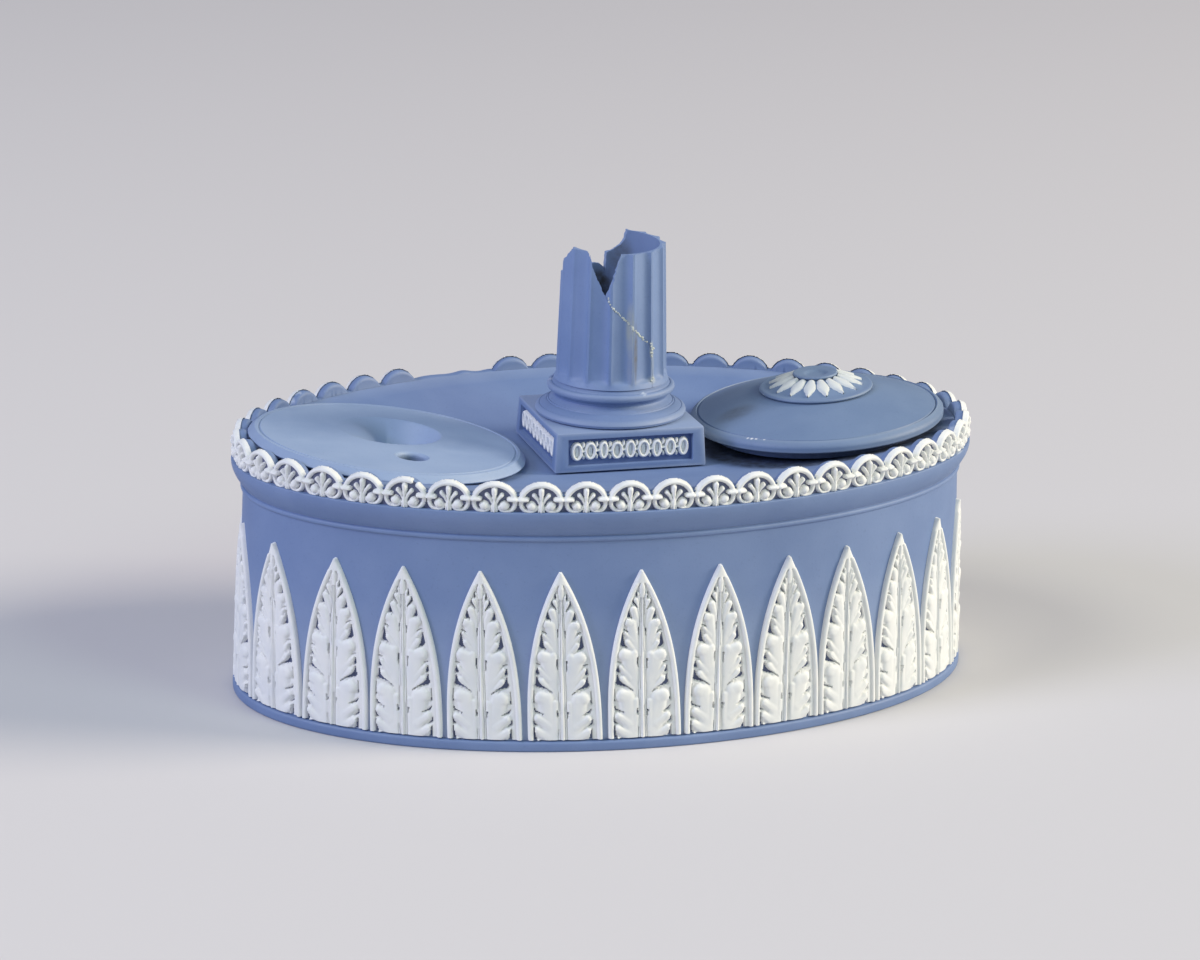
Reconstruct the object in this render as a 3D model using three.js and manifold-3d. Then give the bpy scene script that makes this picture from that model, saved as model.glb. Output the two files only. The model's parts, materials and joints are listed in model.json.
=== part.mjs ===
// Oval desk inkstand in blue stoneware with white applied relief, the broken column included.
// Millimetres, +Z up. The origin is the centre of the oval foot, on the table.
// X runs along the oval, -Y is the front.
import * as THREE from 'three';
import { mergeVertices } from 'three/addons/utils/BufferGeometryUtils.js';
import Module from 'manifold-3d';

const wasm = await Module();
wasm.setup();

// Sizes of the drum
const drumHalfLength = 80; // outer wall at the foot, along X
const drumHalfWidth = 49.6; // outer wall at the foot, along Y
const footHeight = 2.2; // plain band under the leaves
const footOut = 1.05; // how far that band stands out
const footChamfer = 0.5;
const floorThickness = 4.6; // floor inside the drum
const wallThickness = 4.2;
const wallLeanIn = 1.4; // the wall draws in by this much up to the bead
const beadHeight = 44.9;
const beadRadius = 0.55;
const flatsPerLeaf = 3; // flats of the drum wall behind each leaf

// Sizes of the top
const corniceHeight = 6.1; // from the bead to the ledge
const bandSwell = 1.9; // how far the band between them has come out at its bend
const bandBend = 0.6; // the bend's height, as a share of the band's
const corniceOut = 1;
const corniceEdge = 0.6; // thickness of the cornice at its edge
const plateRise = 3.4; // from the ledge to the top surface beside the gallery
const dishDepth = 5.2; // how far the middle of the top has sunk
const dishFlat = 0.25; // share of the oval that stays level in the middle
const dishPower = 2.5;
const plateThickness = 4;
const galleryHeight = 6.1; // from the ledge to the tops of the arches
const galleryThickness = 2.2;
const galleryInset = 0.2; // outer face of the gallery, in from the foot line
const archCount = 46;
const archShift = 0.47; // share of an arch from the left end of the oval to the first centre
const archTopRadius = 4.3;
const flatsPerArch = 6;
const lostFrom = 0.79; // share of the way round, from the left end, where arches are lost
const lostCount = 2;
const stumpHeight = 3.6; // from the ledge to what is left of them
const stumpRoughness = 0.25;
const reliefThickness = 0.75;

// Sizes of the leaves
const leafCount = 26;
const leafShift = 0.11; // share of a leaf from the left end of the oval to the first middle
// The leaves were laid by hand: how far each has strayed along the oval, and how far its tip leans
const leafStray = [0, -0.1, -0.4, -0.4, 0, 0.6, 1.2, 1.4, 1.1, 0.8, 0.5, 0.2];
const leafLean = [-1.6, -1.6, -0.4, -1.2, -1.5, -1.6, -1.3, -0.4, -0.1, -0.9, -0.9, -1.6, -1.4];
const plainBand = 6.85; // bare wall between the leaf tips and the bead
const leafGap = 0.5; // between neighbours at the foot
const leafRib = 0.9; // proud at the rim and the midrib
const leafPanel = 0.6; // proud between them
const leafTaper = 2.75;
const leafTipWidth = 0.5;

// Sizes of the plinth and column
const columnX = 0.6; // the column stands a little off centre
const plinthWidth = 33.1;
const plinthHeight = 8.4;
const plinthDraw = 0.5; // each side draws in by this much going up
const plinthRise = 0.45; // clears the rise of the dish under its corners
const panelMargin = 3.1; // from a panel's end to the plinth's corner
const panelBorder = 1.75; // above and below a panel
const panelDepth = 1;
const panelFrame = 0.6; // slope round a panel
const chainLinks = 9;
const chainWaist = 0.45; // height of a link where it meets the next, as a share
const baseHeight = 7.4;
const torusOut = 1.65; // the small torus, out from the foot of the shaft
const shaftFootRadius = 11.9;
const shaftTaper = 0.95;
const shaftHeight = 29.8;
const shaftWall = 2.8;
const fluteCount = 15;
const fluteDepth = 0.75;
const flatsPerFlute = 4;
const fluteTurn = -83.5; // degrees to the first ridge
const fluteStart = 1.6; // plain band at the foot of the shaft

// The break at the top of the column: how far each stretch is below the rim
const rimDip = 0.7; // the rim itself slopes down to the front by this much
const notchDepth = 9.3;
const notchRight = 6.1;
const notchLeft = 3.8;
const sideDepth = 7.2; // the left side, broken away towards the back
const sideFrom = 7; // and from here out, measured from the axis
const backDepth = 8.4;
const backStep = 4.6;

// Sizes of the left well: a pot and its dished cover
const coverGap = 2.7; // between the cover and the plinth
const coverBevel = 2.2;
const coverRim = 1.8; // height of the bevelled edge
const coverLip = 0.1; // the incised line stands this much above the middle
const coverOuterRise = 3.58; // cover's face at the gallery, above the top there
const coverInnerRise = 2.32; // cover's face at the plinth, above the middle of the top
const coverThickness = 3;
const coverOverhang = 8.4; // how far the cover reaches past its pot
const hollowDepth = 8;
const hollowWall = 2.1;
const hollowAt = [0.095, 0.286]; // middle of the hollow, in pot radii
const cupGap = 1.08; // between the hollow's underside and the pot
const throatShare = 0.3; // floor of the hollow to its mouth
const quillRadius = 3.6;
const quillTaper = 0.5;
const quillAt = [0.1, -0.657]; // in pot radii
const potWall = 3;
const potCorner = 2; // chamfer round a pot's foot

// Sizes of the right pot and its lid
const lidInset = 5.1; // lid edge to the oval's foot line
const lidGap = 2.65; // between the lid and the plinth
const lidBevel = 1.6;
const lidRim = 2.46;
const lidOuterRise = 4.34; // lid's incised line at the gallery, above the top there
const lidInnerRise = 5.36; // and at the plinth, above the middle of the top
const lidDome = 3.85; // rise from the incised line to the knob
const lidWall = 2.6;
const lidOverhang = 7.6; // how far the lid reaches past its pot
const neckInset = 3.3; // neck of the pot, in from the pot's outside
const neckWall = 2;
const neckHeight = 2.1; // it stands up inside the hollow lid
const collarOut = 3.5;
const collarThickness = 2.1;
const knobRadius = 12.4;
const knobRing = 0.75; // thickness of the flat ring round the knob
const knobRingWidth = 2.1;
const knobRise = 2.85; // from the ring to the button's rim
const buttonRadius = 5.35;
const buttonThickness = 0.85;
const buttonLip = 2.1;
const petalCount = 16;
const petalTurn = 5; // degrees
const petalInset = 0.1; // from a petal's tip to the foot of its dome
const petalValley = 1.2; // where two petals part, out from their roots
const petalThickness = 0.5;

// Clearances
const seatGap = 0.15; // between pieces that rest on or are luted to each other
const tiltGap = 0.3; // between tilted pieces and what they stand in
const dropGap = 0.9; // round a loose pot in its hole
const potFloorGap = 6.8; // under the hanging pots
const edgeRound = 0.3; // small chamfer on turned edges

// Places worked out from the sizes
const drumSteps = leafCount * flatsPerLeaf;
const drumTurn = leafShift * flatsPerLeaf;
const drumTop = beadHeight + beadRadius;
const leafFoot = footHeight + seatGap;
const leafHeight = beadHeight - plainBand - leafFoot;
const ledgeHeight = beadHeight + corniceHeight;
const plateRimHeight = ledgeHeight + plateRise;
const plateMiddle = plateRimHeight - dishDepth;
const galleryTop = ledgeHeight + galleryHeight;
const galleryFoot = ledgeHeight + seatGap;
const galleryOuter = -galleryInset;
const galleryInner = galleryOuter - galleryThickness;
const plateEdge = galleryInner - seatGap;
const plinthHalf = plinthWidth / 2;
const plinthFace = plinthHalf - plinthDraw / 2; // at half height
const plinthBottom = plateMiddle + plinthRise;
const plinthTop = plinthBottom + plinthHeight;
const panelLength = plinthWidth - 2 * panelMargin;
const panelHeight = plinthHeight - 2 * panelBorder;
const lowerTorusRadius = plinthHalf - plinthDraw;
const baseBottom = plinthTop + seatGap;
const shaftBottom = baseBottom + baseHeight + seatGap;
const shaftTop = shaftBottom + shaftHeight;
const shaftBore = shaftFootRadius - shaftWall;

// The cover fills the room between gallery and plinth, and lies across the slope of the dish
const coverLeft = -(drumHalfLength + plateEdge);
const coverRight = columnX - plinthHalf - coverGap;
const coverRadius = (coverRight - coverLeft) / 2;
const coverX = (coverRight + coverLeft) / 2;
const coverOuterEdge = plateRimHeight + coverOuterRise;
const coverInnerEdge = plateMiddle + coverInnerRise;
const coverHeight = (coverOuterEdge + coverInnerEdge) / 2;
const coverTilt = Math.asin((coverOuterEdge - coverInnerEdge) / (2 * coverRadius));
const wellRadius = coverRadius - coverOverhang;
const hollowPlace = hollowAt.map((share) => share * wellRadius);
const hollowRadius = wellRadius - potWall - Math.hypot(...hollowPlace) - cupGap;
const throatRadius = throatShare * hollowRadius;
const quillPlace = quillAt.map((share) => share * wellRadius);

// The lid does the same on the other side
const lidLeft = columnX + plinthHalf + lidGap;
const lidRight = drumHalfLength - lidInset;
const lidRadius = (lidRight - lidLeft) / 2;
const lidX = (lidRight + lidLeft) / 2;
const lidOuterEdge = plateRimHeight + lidOuterRise;
const lidInnerEdge = plateMiddle + lidInnerRise;
const lidHeight = (lidOuterEdge + lidInnerEdge) / 2;
const lidTilt = -Math.asin((lidOuterEdge - lidInnerEdge) / (2 * lidRadius));
const potRadius = lidRadius - lidOverhang;
const collarRadius = potRadius + collarOut;
const neckRadius = potRadius - neckInset;
const potFloor = floorThickness + potFloorGap;
const knobBottom = lidDome + seatGap;
const domeFoot = knobBottom + knobRing;
const domeTop = domeFoot + knobRise - buttonThickness;
const domeRadius = knobRadius - knobRingWidth;
const petalReach = domeRadius - petalInset;

const rad = THREE.MathUtils.degToRad;

// The oval of the foot, walked by its length from the right end, counter-clockwise
const ovalSamples = 4096;
const ovalLengths = [0];
for (let i = 1; i <= ovalSamples; i += 1) {
  const a = (2 * Math.PI * (i - 1)) / ovalSamples;
  const b = (2 * Math.PI * i) / ovalSamples;
  const dx = drumHalfLength * (Math.cos(b) - Math.cos(a));
  const dy = drumHalfWidth * (Math.sin(b) - Math.sin(a));
  ovalLengths.push(ovalLengths[i - 1] + Math.hypot(dx, dy));
}
const ovalLength = ovalLengths[ovalSamples];

function ovalAngle(share) {
  const wanted = (share - Math.floor(share)) * ovalLength;
  let low = 0;
  let high = ovalSamples;
  while (high - low > 1) {
    const middle = (low + high) >> 1;
    if (ovalLengths[middle] > wanted) high = middle;
    else low = middle;
  }
  const part = (wanted - ovalLengths[low]) / (ovalLengths[high] - ovalLengths[low]);
  return (2 * Math.PI * (low + part)) / ovalSamples;
}

function ovalNormal(share) {
  const t = ovalAngle(share);
  return new THREE.Vector3(drumHalfWidth * Math.cos(t), drumHalfLength * Math.sin(t), 0).normalize();
}

// A point beside the oval: its share of the way round, its distance outwards and its height
function onOval(share, out, z) {
  const t = ovalAngle(share);
  const point = new THREE.Vector3(drumHalfLength * Math.cos(t), drumHalfWidth * Math.sin(t), z);
  return point.addScaledVector(ovalNormal(share), out);
}

// Makes a closed body of a geometry: shared corners, no empty triangles, faces outwards
function closed(geometry) {
  const bare = geometry.index ? geometry.toNonIndexed() : geometry.clone();
  bare.deleteAttribute('normal');
  bare.deleteAttribute('uv');
  const merged = mergeVertices(bare, 1e-4);
  const place = merged.attributes.position;
  const index = merged.index.array;
  const kept = [];
  const a = new THREE.Vector3();
  const b = new THREE.Vector3();
  const c = new THREE.Vector3();
  let volume = 0;
  for (let i = 0; i < index.length; i += 3) {
    const [p, q, r] = [index[i], index[i + 1], index[i + 2]];
    if (p === q || q === r || r === p) continue;
    kept.push([p, q, r]);
    a.fromBufferAttribute(place, p);
    b.fromBufferAttribute(place, q);
    c.fromBufferAttribute(place, r);
    volume += a.dot(b.cross(c));
  }
  const faces = volume < 0 ? kept.map(([p, q, r]) => [p, r, q]) : kept;
  merged.setIndex(faces.flat());
  return merged;
}

// A body from rows of points. The rows go round in a loop, and so do the points of each row
// unless the rows start and end at poles.
function gridBody(rows, rowLoop = true) {
  const across = rows[0].length;
  const points = rows.flat().flatMap((p) => [p.x, p.y, p.z]);
  const faces = [];
  for (let i = 0; i < rows.length; i += 1) {
    const next = (i + 1) % rows.length;
    const last = rowLoop ? across : across - 1;
    for (let j = 0; j < last; j += 1) {
      const k = (j + 1) % across;
      const corners = [i * across + j, next * across + j, next * across + k, i * across + k];
      faces.push(corners[0], corners[1], corners[2], corners[0], corners[2], corners[3]);
    }
  }
  const geometry = new THREE.BufferGeometry();
  geometry.setAttribute('position', new THREE.Float32BufferAttribute(points, 3));
  geometry.setIndex(faces);
  return closed(geometry);
}

// A ring that follows the oval, from a profile of [out, height] pairs at each step
function ovalRing(steps, profileAt, shift = 0) {
  const rows = [];
  for (let i = 0; i < steps; i += 1) {
    const share = (i + shift) / steps;
    rows.push(profileAt(share).map(([out, z]) => onOval(share, out, z)));
  }
  return gridBody(rows);
}

// A turned piece from [radius, height] pairs that start and end on the axis or close on themselves
function turned(profile, steps) {
  const points = profile.map(([r, z]) => new THREE.Vector2(r, z));
  return closed(new THREE.LatheGeometry(points, steps).rotateX(Math.PI / 2));
}

// A flat outline in X and Z, made thick along Y from near to far
function upright(outline, near, far) {
  const shape = new THREE.Shape(outline.map(([x, z]) => new THREE.Vector2(x, z)));
  const body = new THREE.ExtrudeGeometry(shape, { depth: far - near, bevelEnabled: false });
  return closed(body.rotateX(Math.PI / 2).translate(0, far, 0));
}

function toManifold(geometry) {
  return new wasm.Manifold(new wasm.Mesh({
    numProp: 3,
    vertProperties: new Float32Array(geometry.attributes.position.array),
    triVerts: new Uint32Array(geometry.index.array),
  }));
}

function fromManifold(body) {
  const mesh = body.getMesh();
  const geometry = new THREE.BufferGeometry();
  geometry.setAttribute('position', new THREE.BufferAttribute(mesh.vertProperties, 3));
  geometry.setIndex(new THREE.BufferAttribute(mesh.triVerts, 1));
  return closed(geometry);
}

function joined(first, ...others) {
  return fromManifold(others.reduce((sum, g) => sum.add(toManifold(g)), toManifold(first)));
}

function cutBy(first, ...others) {
  return fromManifold(others.reduce((rest, g) => rest.subtract(toManifold(g)), toManifold(first)));
}

function common(first, second) {
  return fromManifold(toManifold(first).intersect(toManifold(second)));
}

const finishes = {
  blue: { color: 0x7288b0, roughness: 0.72, metalness: 0 },
  white: { color: 0xdfe3ea, roughness: 0.68, metalness: 0 },
};

const inkstand = new THREE.Group();

function addPiece(name, geometry, finish, parent = inkstand) {
  const piece = new THREE.Mesh(geometry, new THREE.MeshStandardMaterial(finishes[finish]));
  piece.name = name;
  parent.add(piece);
  return piece;
}

// Out from the foot line to the wall's face at a height
function wallOut(z) {
  return -wallLeanIn * (z - footHeight) / (beadHeight - footHeight);
}

// Drum: a slab with the foot band round it, and the wall that stands on the slab
function drumBase() {
  const pad = wallOut(footHeight) - wallThickness - seatGap;
  const rows = [];
  for (let i = 0; i < drumSteps; i += 1) {
    const share = (i + drumTurn) / drumSteps;
    rows.push([
      new THREE.Vector3(0, 0, floorThickness),
      onOval(share, pad, floorThickness),
      onOval(share, pad, footHeight),
      onOval(share, footOut - footChamfer, footHeight),
      onOval(share, footOut, footHeight - footChamfer),
      onOval(share, footOut, footChamfer),
      onOval(share, footOut - footChamfer, 0),
      new THREE.Vector3(0, 0, 0),
    ]);
  }
  return gridBody(rows, false);
}

function drumWall() {
  const bottom = footHeight + seatGap;
  const face = wallOut(beadHeight);
  const profile = [
    [wallOut(bottom) - wallThickness, bottom],
    [wallOut(bottom), bottom],
    [wallOut(beadHeight - 2 * beadRadius), beadHeight - 2 * beadRadius],
    [face + beadRadius * 0.8, beadHeight - beadRadius * 0.6],
    [face + beadRadius * 0.8, beadHeight + beadRadius * 0.4],
    [face, drumTop],
    [face - wallThickness, drumTop],
  ];
  return ovalRing(drumSteps, () => profile, drumTurn);
}

// Height of the dished top, by the share of the way out from the middle
function plateHeight(share) {
  const rise = Math.max(0, (share - dishFlat) / (1 - dishFlat));
  return plateMiddle + dishDepth * rise ** dishPower;
}

// Top tray: cornice and dished plate in one, open where the two pots hang
function topTray() {
  const seat = drumTop + seatGap;
  const outer = wallOut(beadHeight);
  const inner = outer - wallThickness;
  const band = ledgeHeight - corniceEdge - seat;
  const side = [
    [plateEdge, ledgeHeight],
    [corniceOut, ledgeHeight],
    [corniceOut, ledgeHeight - corniceEdge],
    [outer + bandSwell, seat + band * bandBend],
    [outer, seat],
    [inner, seat],
  ];
  const rows = [];
  for (let i = 0; i < drumSteps; i += 1) {
    const share = (i + drumTurn) / drumSteps;
    const edge = onOval(share, plateEdge, 0);
    const under = onOval(share, inner, 0);
    const ring = (line, r, drop) => line.clone().multiplyScalar(r).setZ(plateHeight(r) - drop);
    rows.push([
      ...[0, 0.4, 0.64, 0.84, 1].map((r) => ring(edge, r, 0)),
      ...side.map(([out, z]) => onOval(share, out, z)),
      ...[1, 0.75, 0.45, 0].map((r) => ring(under, r, plateThickness)),
    ]);
  }
  const holes = [wellHole(coverX, coverTilt, wellRadius), wellHole(lidX, lidTilt, potRadius)];
  return cutBy(gridBody(rows, false), ...holes);
}

// The round hole that a hanging pot drops through, along the pot's own axis
function wellHole(x, tilt, radius) {
  const tall = 4 * plateThickness + 4 * dishDepth;
  const hole = new THREE.CylinderGeometry(radius + dropGap, radius + dropGap, tall, 40).rotateX(Math.PI / 2);
  return closed(hole.rotateY(tilt).translate(x, 0, plateMiddle));
}

// The arches that are lost, counted from the left end of the oval
const firstLost = Math.floor(lostFrom * archCount);
const isLost = (number) => number >= firstLost && number < firstLost + lostCount;

// Height of the gallery's edge: a row of round arches, worn to a stump where two are lost
function archEdge(share) {
  const along = (share - 0.5) * archCount - archShift;
  const number = ((Math.round(along) % archCount) + archCount) % archCount;
  const away = (along - Math.round(along)) * (ovalLength / archCount);
  const stump = ledgeHeight + stumpHeight;
  if (isLost(number)) return stump + stumpRoughness * Math.sin(flatsPerArch * along);
  const drop = Math.sqrt(Math.max(0, archTopRadius ** 2 - away ** 2));
  return Math.max(stump, galleryTop - archTopRadius + drop);
}

function galleryWall() {
  const profileAt = (share) => {
    const edge = archEdge(share);
    return [[galleryInner, galleryFoot], [galleryOuter, galleryFoot], [galleryOuter, edge], [galleryInner, edge]];
  };
  return ovalRing(archCount * flatsPerArch, profileAt, archShift * flatsPerArch);
}

// Half of one arch of the frieze from its middle to the link with its neighbour:
// place along the arch, foot and top, all as shares
const archOutline = [[0.1, 0.02, 0.99], [0.28, 0, 0.88], [0.43, 0.12, 0.64], [0.5, 0.38, 0.54]];

// The white frieze: the arches in one linked chain, open where two are lost
function galleryFrieze() {
  const tall = galleryTop - galleryFoot;
  const back = galleryOuter + tiltGap;
  const first = firstLost + lostCount;
  const rest = archOutline.slice(0, -1);
  const loops = [];
  const column = (arch, [along, foot, top]) => {
    const share = (arch + along + archShift) / archCount + 0.5;
    const spots = [[back + reliefThickness, foot], [back + reliefThickness, top], [back, top], [back, foot]];
    loops.push(spots.map(([out, z]) => onOval(share, out, galleryFoot + tall * z)));
  };
  const [linkAlong, linkFoot, linkTop] = archOutline.at(-1);
  column(first, [-linkAlong, linkFoot, linkTop]);
  for (let arch = first; arch < first + archCount - lostCount; arch += 1) {
    [...rest].reverse().forEach(([along, foot, top]) => column(arch, [-along, foot, top]));
    rest.forEach((edge) => column(arch, edge));
    column(arch, archOutline.at(-1));
  }
  return stackBody(loops);
}

// One lancet leaf, laid on the wall: raised rim and midrib, lower between
function leafSprig(number) {
  const rows = [0, 0.4, 0.68, 0.88, 1];
  const columns = [-1, -0.5, 0, 0.5, 1];
  const middle = (number + leafShift) / leafCount + 0.5;
  const halfWidth = (ovalLength / leafCount - leafGap) / 2;
  const stray = leafStray[number] ?? 0;
  const lean = leafLean[number] ?? 0;
  const spot = (row, column, proud) => {
    const z = leafFoot + row * leafHeight;
    const half = leafTipWidth / 2 + (halfWidth - leafTipWidth / 2) * (1 - row ** leafTaper);
    const along = stray + row * lean + column * half;
    return onOval(middle + along / ovalLength, wallOut(z) + tiltGap + proud, z);
  };
  const loops = rows.map((row) => {
    const front = columns.map((c) => spot(row, c, Math.abs(c) === 0.5 ? leafPanel : leafRib));
    const back = columns.map((c) => spot(row, c, 0)).reverse();
    return [...front, ...back];
  });
  return stackBody(loops);
}

// A body from a stack of equal loops, closed by flat ends made of quads between front and back
function stackBody(loops) {
  const across = loops[0].length;
  const points = loops.flat().flatMap((p) => [p.x, p.y, p.z]);
  const faces = [];
  const quad = (a, b, c, d) => faces.push(a, b, c, a, c, d);
  for (let i = 0; i + 1 < loops.length; i += 1) {
    for (let j = 0; j < across; j += 1) {
      const k = (j + 1) % across;
      quad(i * across + j, i * across + k, (i + 1) * across + k, (i + 1) * across + j);
    }
  }
  const top = (loops.length - 1) * across;
  for (let j = 0; j + 1 < across / 2; j += 1) {
    const k = across - 1 - j;
    quad(j, k, k - 1, j + 1);
    quad(top + j, top + j + 1, top + k - 1, top + k);
  }
  const geometry = new THREE.BufferGeometry();
  geometry.setAttribute('position', new THREE.Float32BufferAttribute(points, 3));
  geometry.setIndex(faces);
  return closed(geometry);
}

// A block whose top and bottom are rectangles of half sizes, drawn in going up
function taperedBlock(bottomX, bottomY, topX, topY, bottomZ, topZ) {
  const loop = (x, y, z) => [[-x, -y], [x, -y], [x, y], [-x, y]].map(([a, b]) => new THREE.Vector3(a, b, z));
  return stackBody([loop(bottomX, bottomY, bottomZ), loop(topX, topY, topZ)]);
}

const sides = { front: 0, right: 90, back: 180, left: 270 };

// The four panels are sunk into the faces, each with a sloping frame
function plinth() {
  const narrow = plinthHalf - plinthDraw;
  const block = taperedBlock(plinthHalf, plinthHalf, narrow, narrow, plinthBottom, plinthTop);
  const long = panelLength / 2;
  const tall = panelHeight / 2;
  const spread = 2 * panelFrame;
  const panels = Object.values(sides).map((turn) => {
    const panel = taperedBlock(long, tall, long + spread, tall + spread, 0, 2 * panelDepth);
    panel.rotateX(Math.PI / 2).translate(0, panelDepth - plinthFace, plinthBottom + plinthHeight / 2);
    return panel.rotateZ(rad(turn));
  });
  return cutBy(block, ...panels);
}

// White chain of ovals that fills a panel
function panelChain() {
  const pitch = (panelLength - 2 * tiltGap) / chainLinks;
  const tall = panelHeight / 2 - tiltGap;
  const low = tall * chainWaist;
  const edge = [];
  for (let i = 0; i < chainLinks; i += 1) {
    const x = (i - chainLinks / 2) * pitch;
    edge.push([x, low], [x + 0.5 * pitch, tall]);
  }
  edge.push([(chainLinks / 2) * pitch, low]);
  const lower = edge.map(([x, y]) => [x, -y]).reverse();
  const shape = new THREE.Shape([...edge, ...lower].map(([x, y]) => new THREE.Vector2(x, y)));
  const body = new THREE.ExtrudeGeometry(shape, { depth: reliefThickness, bevelEnabled: false });
  const behind = plinthFace - panelDepth + seatGap;
  return closed(body.rotateX(Math.PI / 2).translate(0, -behind, plinthBottom + plinthHeight / 2));
}

// Column base from its foot up: large torus, hollow between fillets, small torus.
// Each row is a distance out from the shaft's foot, and a share of the height.
function columnBase() {
  const spread = lowerTorusRadius - shaftFootRadius;
  const outline = [
    [spread - 0.7, 0], [spread, 0.12], [spread - 0.5, 0.26], [torusOut, 0.42], [0, 0.52],
    [edgeRound, 0.64], [torusOut - edgeRound, 0.74], [torusOut, 0.84], [torusOut - 0.7, 0.96], [0, 1],
  ];
  const outside = outline.map(([out, share]) => [shaftFootRadius + out, baseBottom + share * baseHeight]);
  const inside = [[shaftBore, baseBottom + baseHeight], [shaftBore, baseBottom]];
  return turned([inside[1], ...outside, ...inside], 32);
}

// Outer radius of the shaft at a height, before the flutes
function shaftRadius(z) {
  const share = (z - shaftBottom) / shaftHeight;
  return shaftFootRadius - shaftTaper * share;
}

// The whole fluted tube, as it was before it broke
function shaftTube() {
  const heights = [shaftBottom, shaftBottom + fluteStart, shaftBottom + 2 * fluteStart];
  const depths = [0, 0.2, 1];
  const flats = fluteCount * flatsPerFlute;
  const rows = [];
  for (let i = 0; i < flats; i += 1) {
    const angle = rad(fluteTurn) + (2 * Math.PI * i) / flats;
    const hollow = fluteDepth * Math.sin((Math.PI * (i % flatsPerFlute)) / flatsPerFlute);
    const spot = (r, z) => new THREE.Vector3(r * Math.cos(angle), r * Math.sin(angle), z);
    const rim = shaftTop - rimDip * (1 - Math.sin(angle)) / 2;
    rows.push([
      spot(shaftBore, shaftBottom),
      ...heights.map((z, n) => spot(shaftRadius(z) - hollow * depths[n], z)),
      spot(shaftRadius(rim) - hollow, rim),
      spot(shaftBore, rim),
    ]);
  }
  return gridBody(rows);
}

// What is lost at the top: a notch in front, the left side, a long gap and a step behind
function lostPieces() {
  const reach = shaftFootRadius + torusOut;
  const over = shaftTop + torusOut;
  const down = (depth) => shaftTop - depth;
  const notch = [
    [-7.7, over], [-7, down(notchLeft)], [-4.6, down(notchDepth)], [-3, down(notchRight)], [-1.1, over],
  ];
  const side = [[-3.9, over], [-3.6, down(0.9)], [2, down(sideDepth)], [reach, down(sideDepth)], [reach, over]];
  const behind = [
    [-reach, over], [-reach, down(sideDepth)], [-8, down(backDepth - 0.9)], [-5, down(backDepth)],
    [-2, down(backDepth - 0.5)], [0.7, down(backDepth + 0.6)], [1, down(backStep + 0.6)],
    [2.6, down(backStep)], [4.3, down(backStep - 1.2)], [4.8, over],
  ];
  const left = upright(side, sideFrom, reach).rotateZ(Math.PI / 2);
  return [upright(notch, -reach, 0), left, upright(behind, 0, reach)];
}

// Way of the crack down from the foot of the notch: place across, and share of the height left
const crackPath = [[-4.5, 1], [-3.3, 0.91], [0.1, 0.75], [2.9, 0.56], [5.6, 0.45], [5.9, 0.36], [6.1, 0]];

// The fragment that is glued back: everything right of the crack
function fragmentBlock(shift) {
  const reach = shaftFootRadius + torusOut;
  const under = shaftBottom - torusOut;
  const over = shaftTop + torusOut;
  const crack = crackPath.map(([x, share]) => [x + shift, shaftBottom + share * (shaftHeight - notchDepth)]);
  const start = crack[0][0];
  const end = crack.at(-1)[0];
  return upright([[start, over], ...crack, [end, under], [reach, under], [reach, over]], -reach, reach);
}

// The outside of a pot up to its shoulder, and the inside from the shoulder down
const potOutside = (radius, depth) => [
  [0, -depth], [radius - potCorner, -depth], [radius, potCorner - depth],
];
const potInside = (radius, depth) => [
  [radius - potWall, potWall + potCorner - depth], [radius - potWall - potCorner, potWall - depth],
  [0, potWall - depth],
];

// Left well: a deep pot under a broad cover with a dip hole and a quill hole
function wellPot(depth) {
  const top = -coverThickness - seatGap;
  return turned([
    ...potOutside(wellRadius, depth),
    [wellRadius, top],
    [wellRadius - potWall, top],
    ...potInside(wellRadius, depth),
  ], 36);
}

function wellCover() {
  const face = coverRadius - coverBevel;
  const disc = turned([
    [0, -coverThickness],
    [wellRadius + 1, -coverThickness],
    [face, -coverRim],
    [coverRadius - edgeRound, -coverRim],
    [coverRadius, edgeRound - coverRim],
    [coverRadius - edgeRound, -coverRim / 2],
    [face, 0],
    [face - coverBevel / 2, -coverLip],
    [0, -coverLip],
  ], 40);
  const mouth = hollowRadius + edgeRound;
  const cupTop = -coverThickness / 2;
  const cup = turned([
    [0, -hollowDepth],
    [throatRadius + hollowWall, -hollowDepth],
    [mouth, -coverThickness],
    [mouth, cupTop],
    [0, cupTop],
  ], 28);
  const over = coverThickness;
  const hollow = turned([
    [0, -hollowDepth - over],
    [throatRadius, -hollowDepth - over],
    [throatRadius, -hollowDepth * 0.8],
    [hollowRadius * 0.62, -hollowDepth * 0.48],
    [hollowRadius * 0.9, -hollowDepth * 0.15],
    [mouth, 0],
    [mouth, over],
    [0, over],
  ], 28);
  [cup, hollow].forEach((body) => body.translate(...hollowPlace, 0));
  const quill = new THREE.CylinderGeometry(quillRadius, quillRadius - quillTaper, 3 * coverThickness, 20);
  const quillHole = closed(quill.rotateX(Math.PI / 2).translate(...quillPlace, -coverThickness / 2));
  return cutBy(joined(disc, cup), hollow, quillHole);
}

// Right pot: hangs by a collar, which also holds the lid clear of the top. Its neck centres the lid.
function collarPot(depth) {
  const top = -lidRim - tiltGap;
  const under = top - collarThickness;
  const mouth = neckRadius - neckWall;
  const inside = potRadius - potWall;
  return turned([
    ...potOutside(potRadius, depth),
    [potRadius, under],
    [collarRadius, under],
    [collarRadius, top],
    [neckRadius, top],
    [neckRadius, top + neckHeight],
    [mouth, top + neckHeight],
    [mouth, under],
    [inside, under + mouth - inside],
    ...potInside(potRadius, depth),
  ], 36);
}

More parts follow.
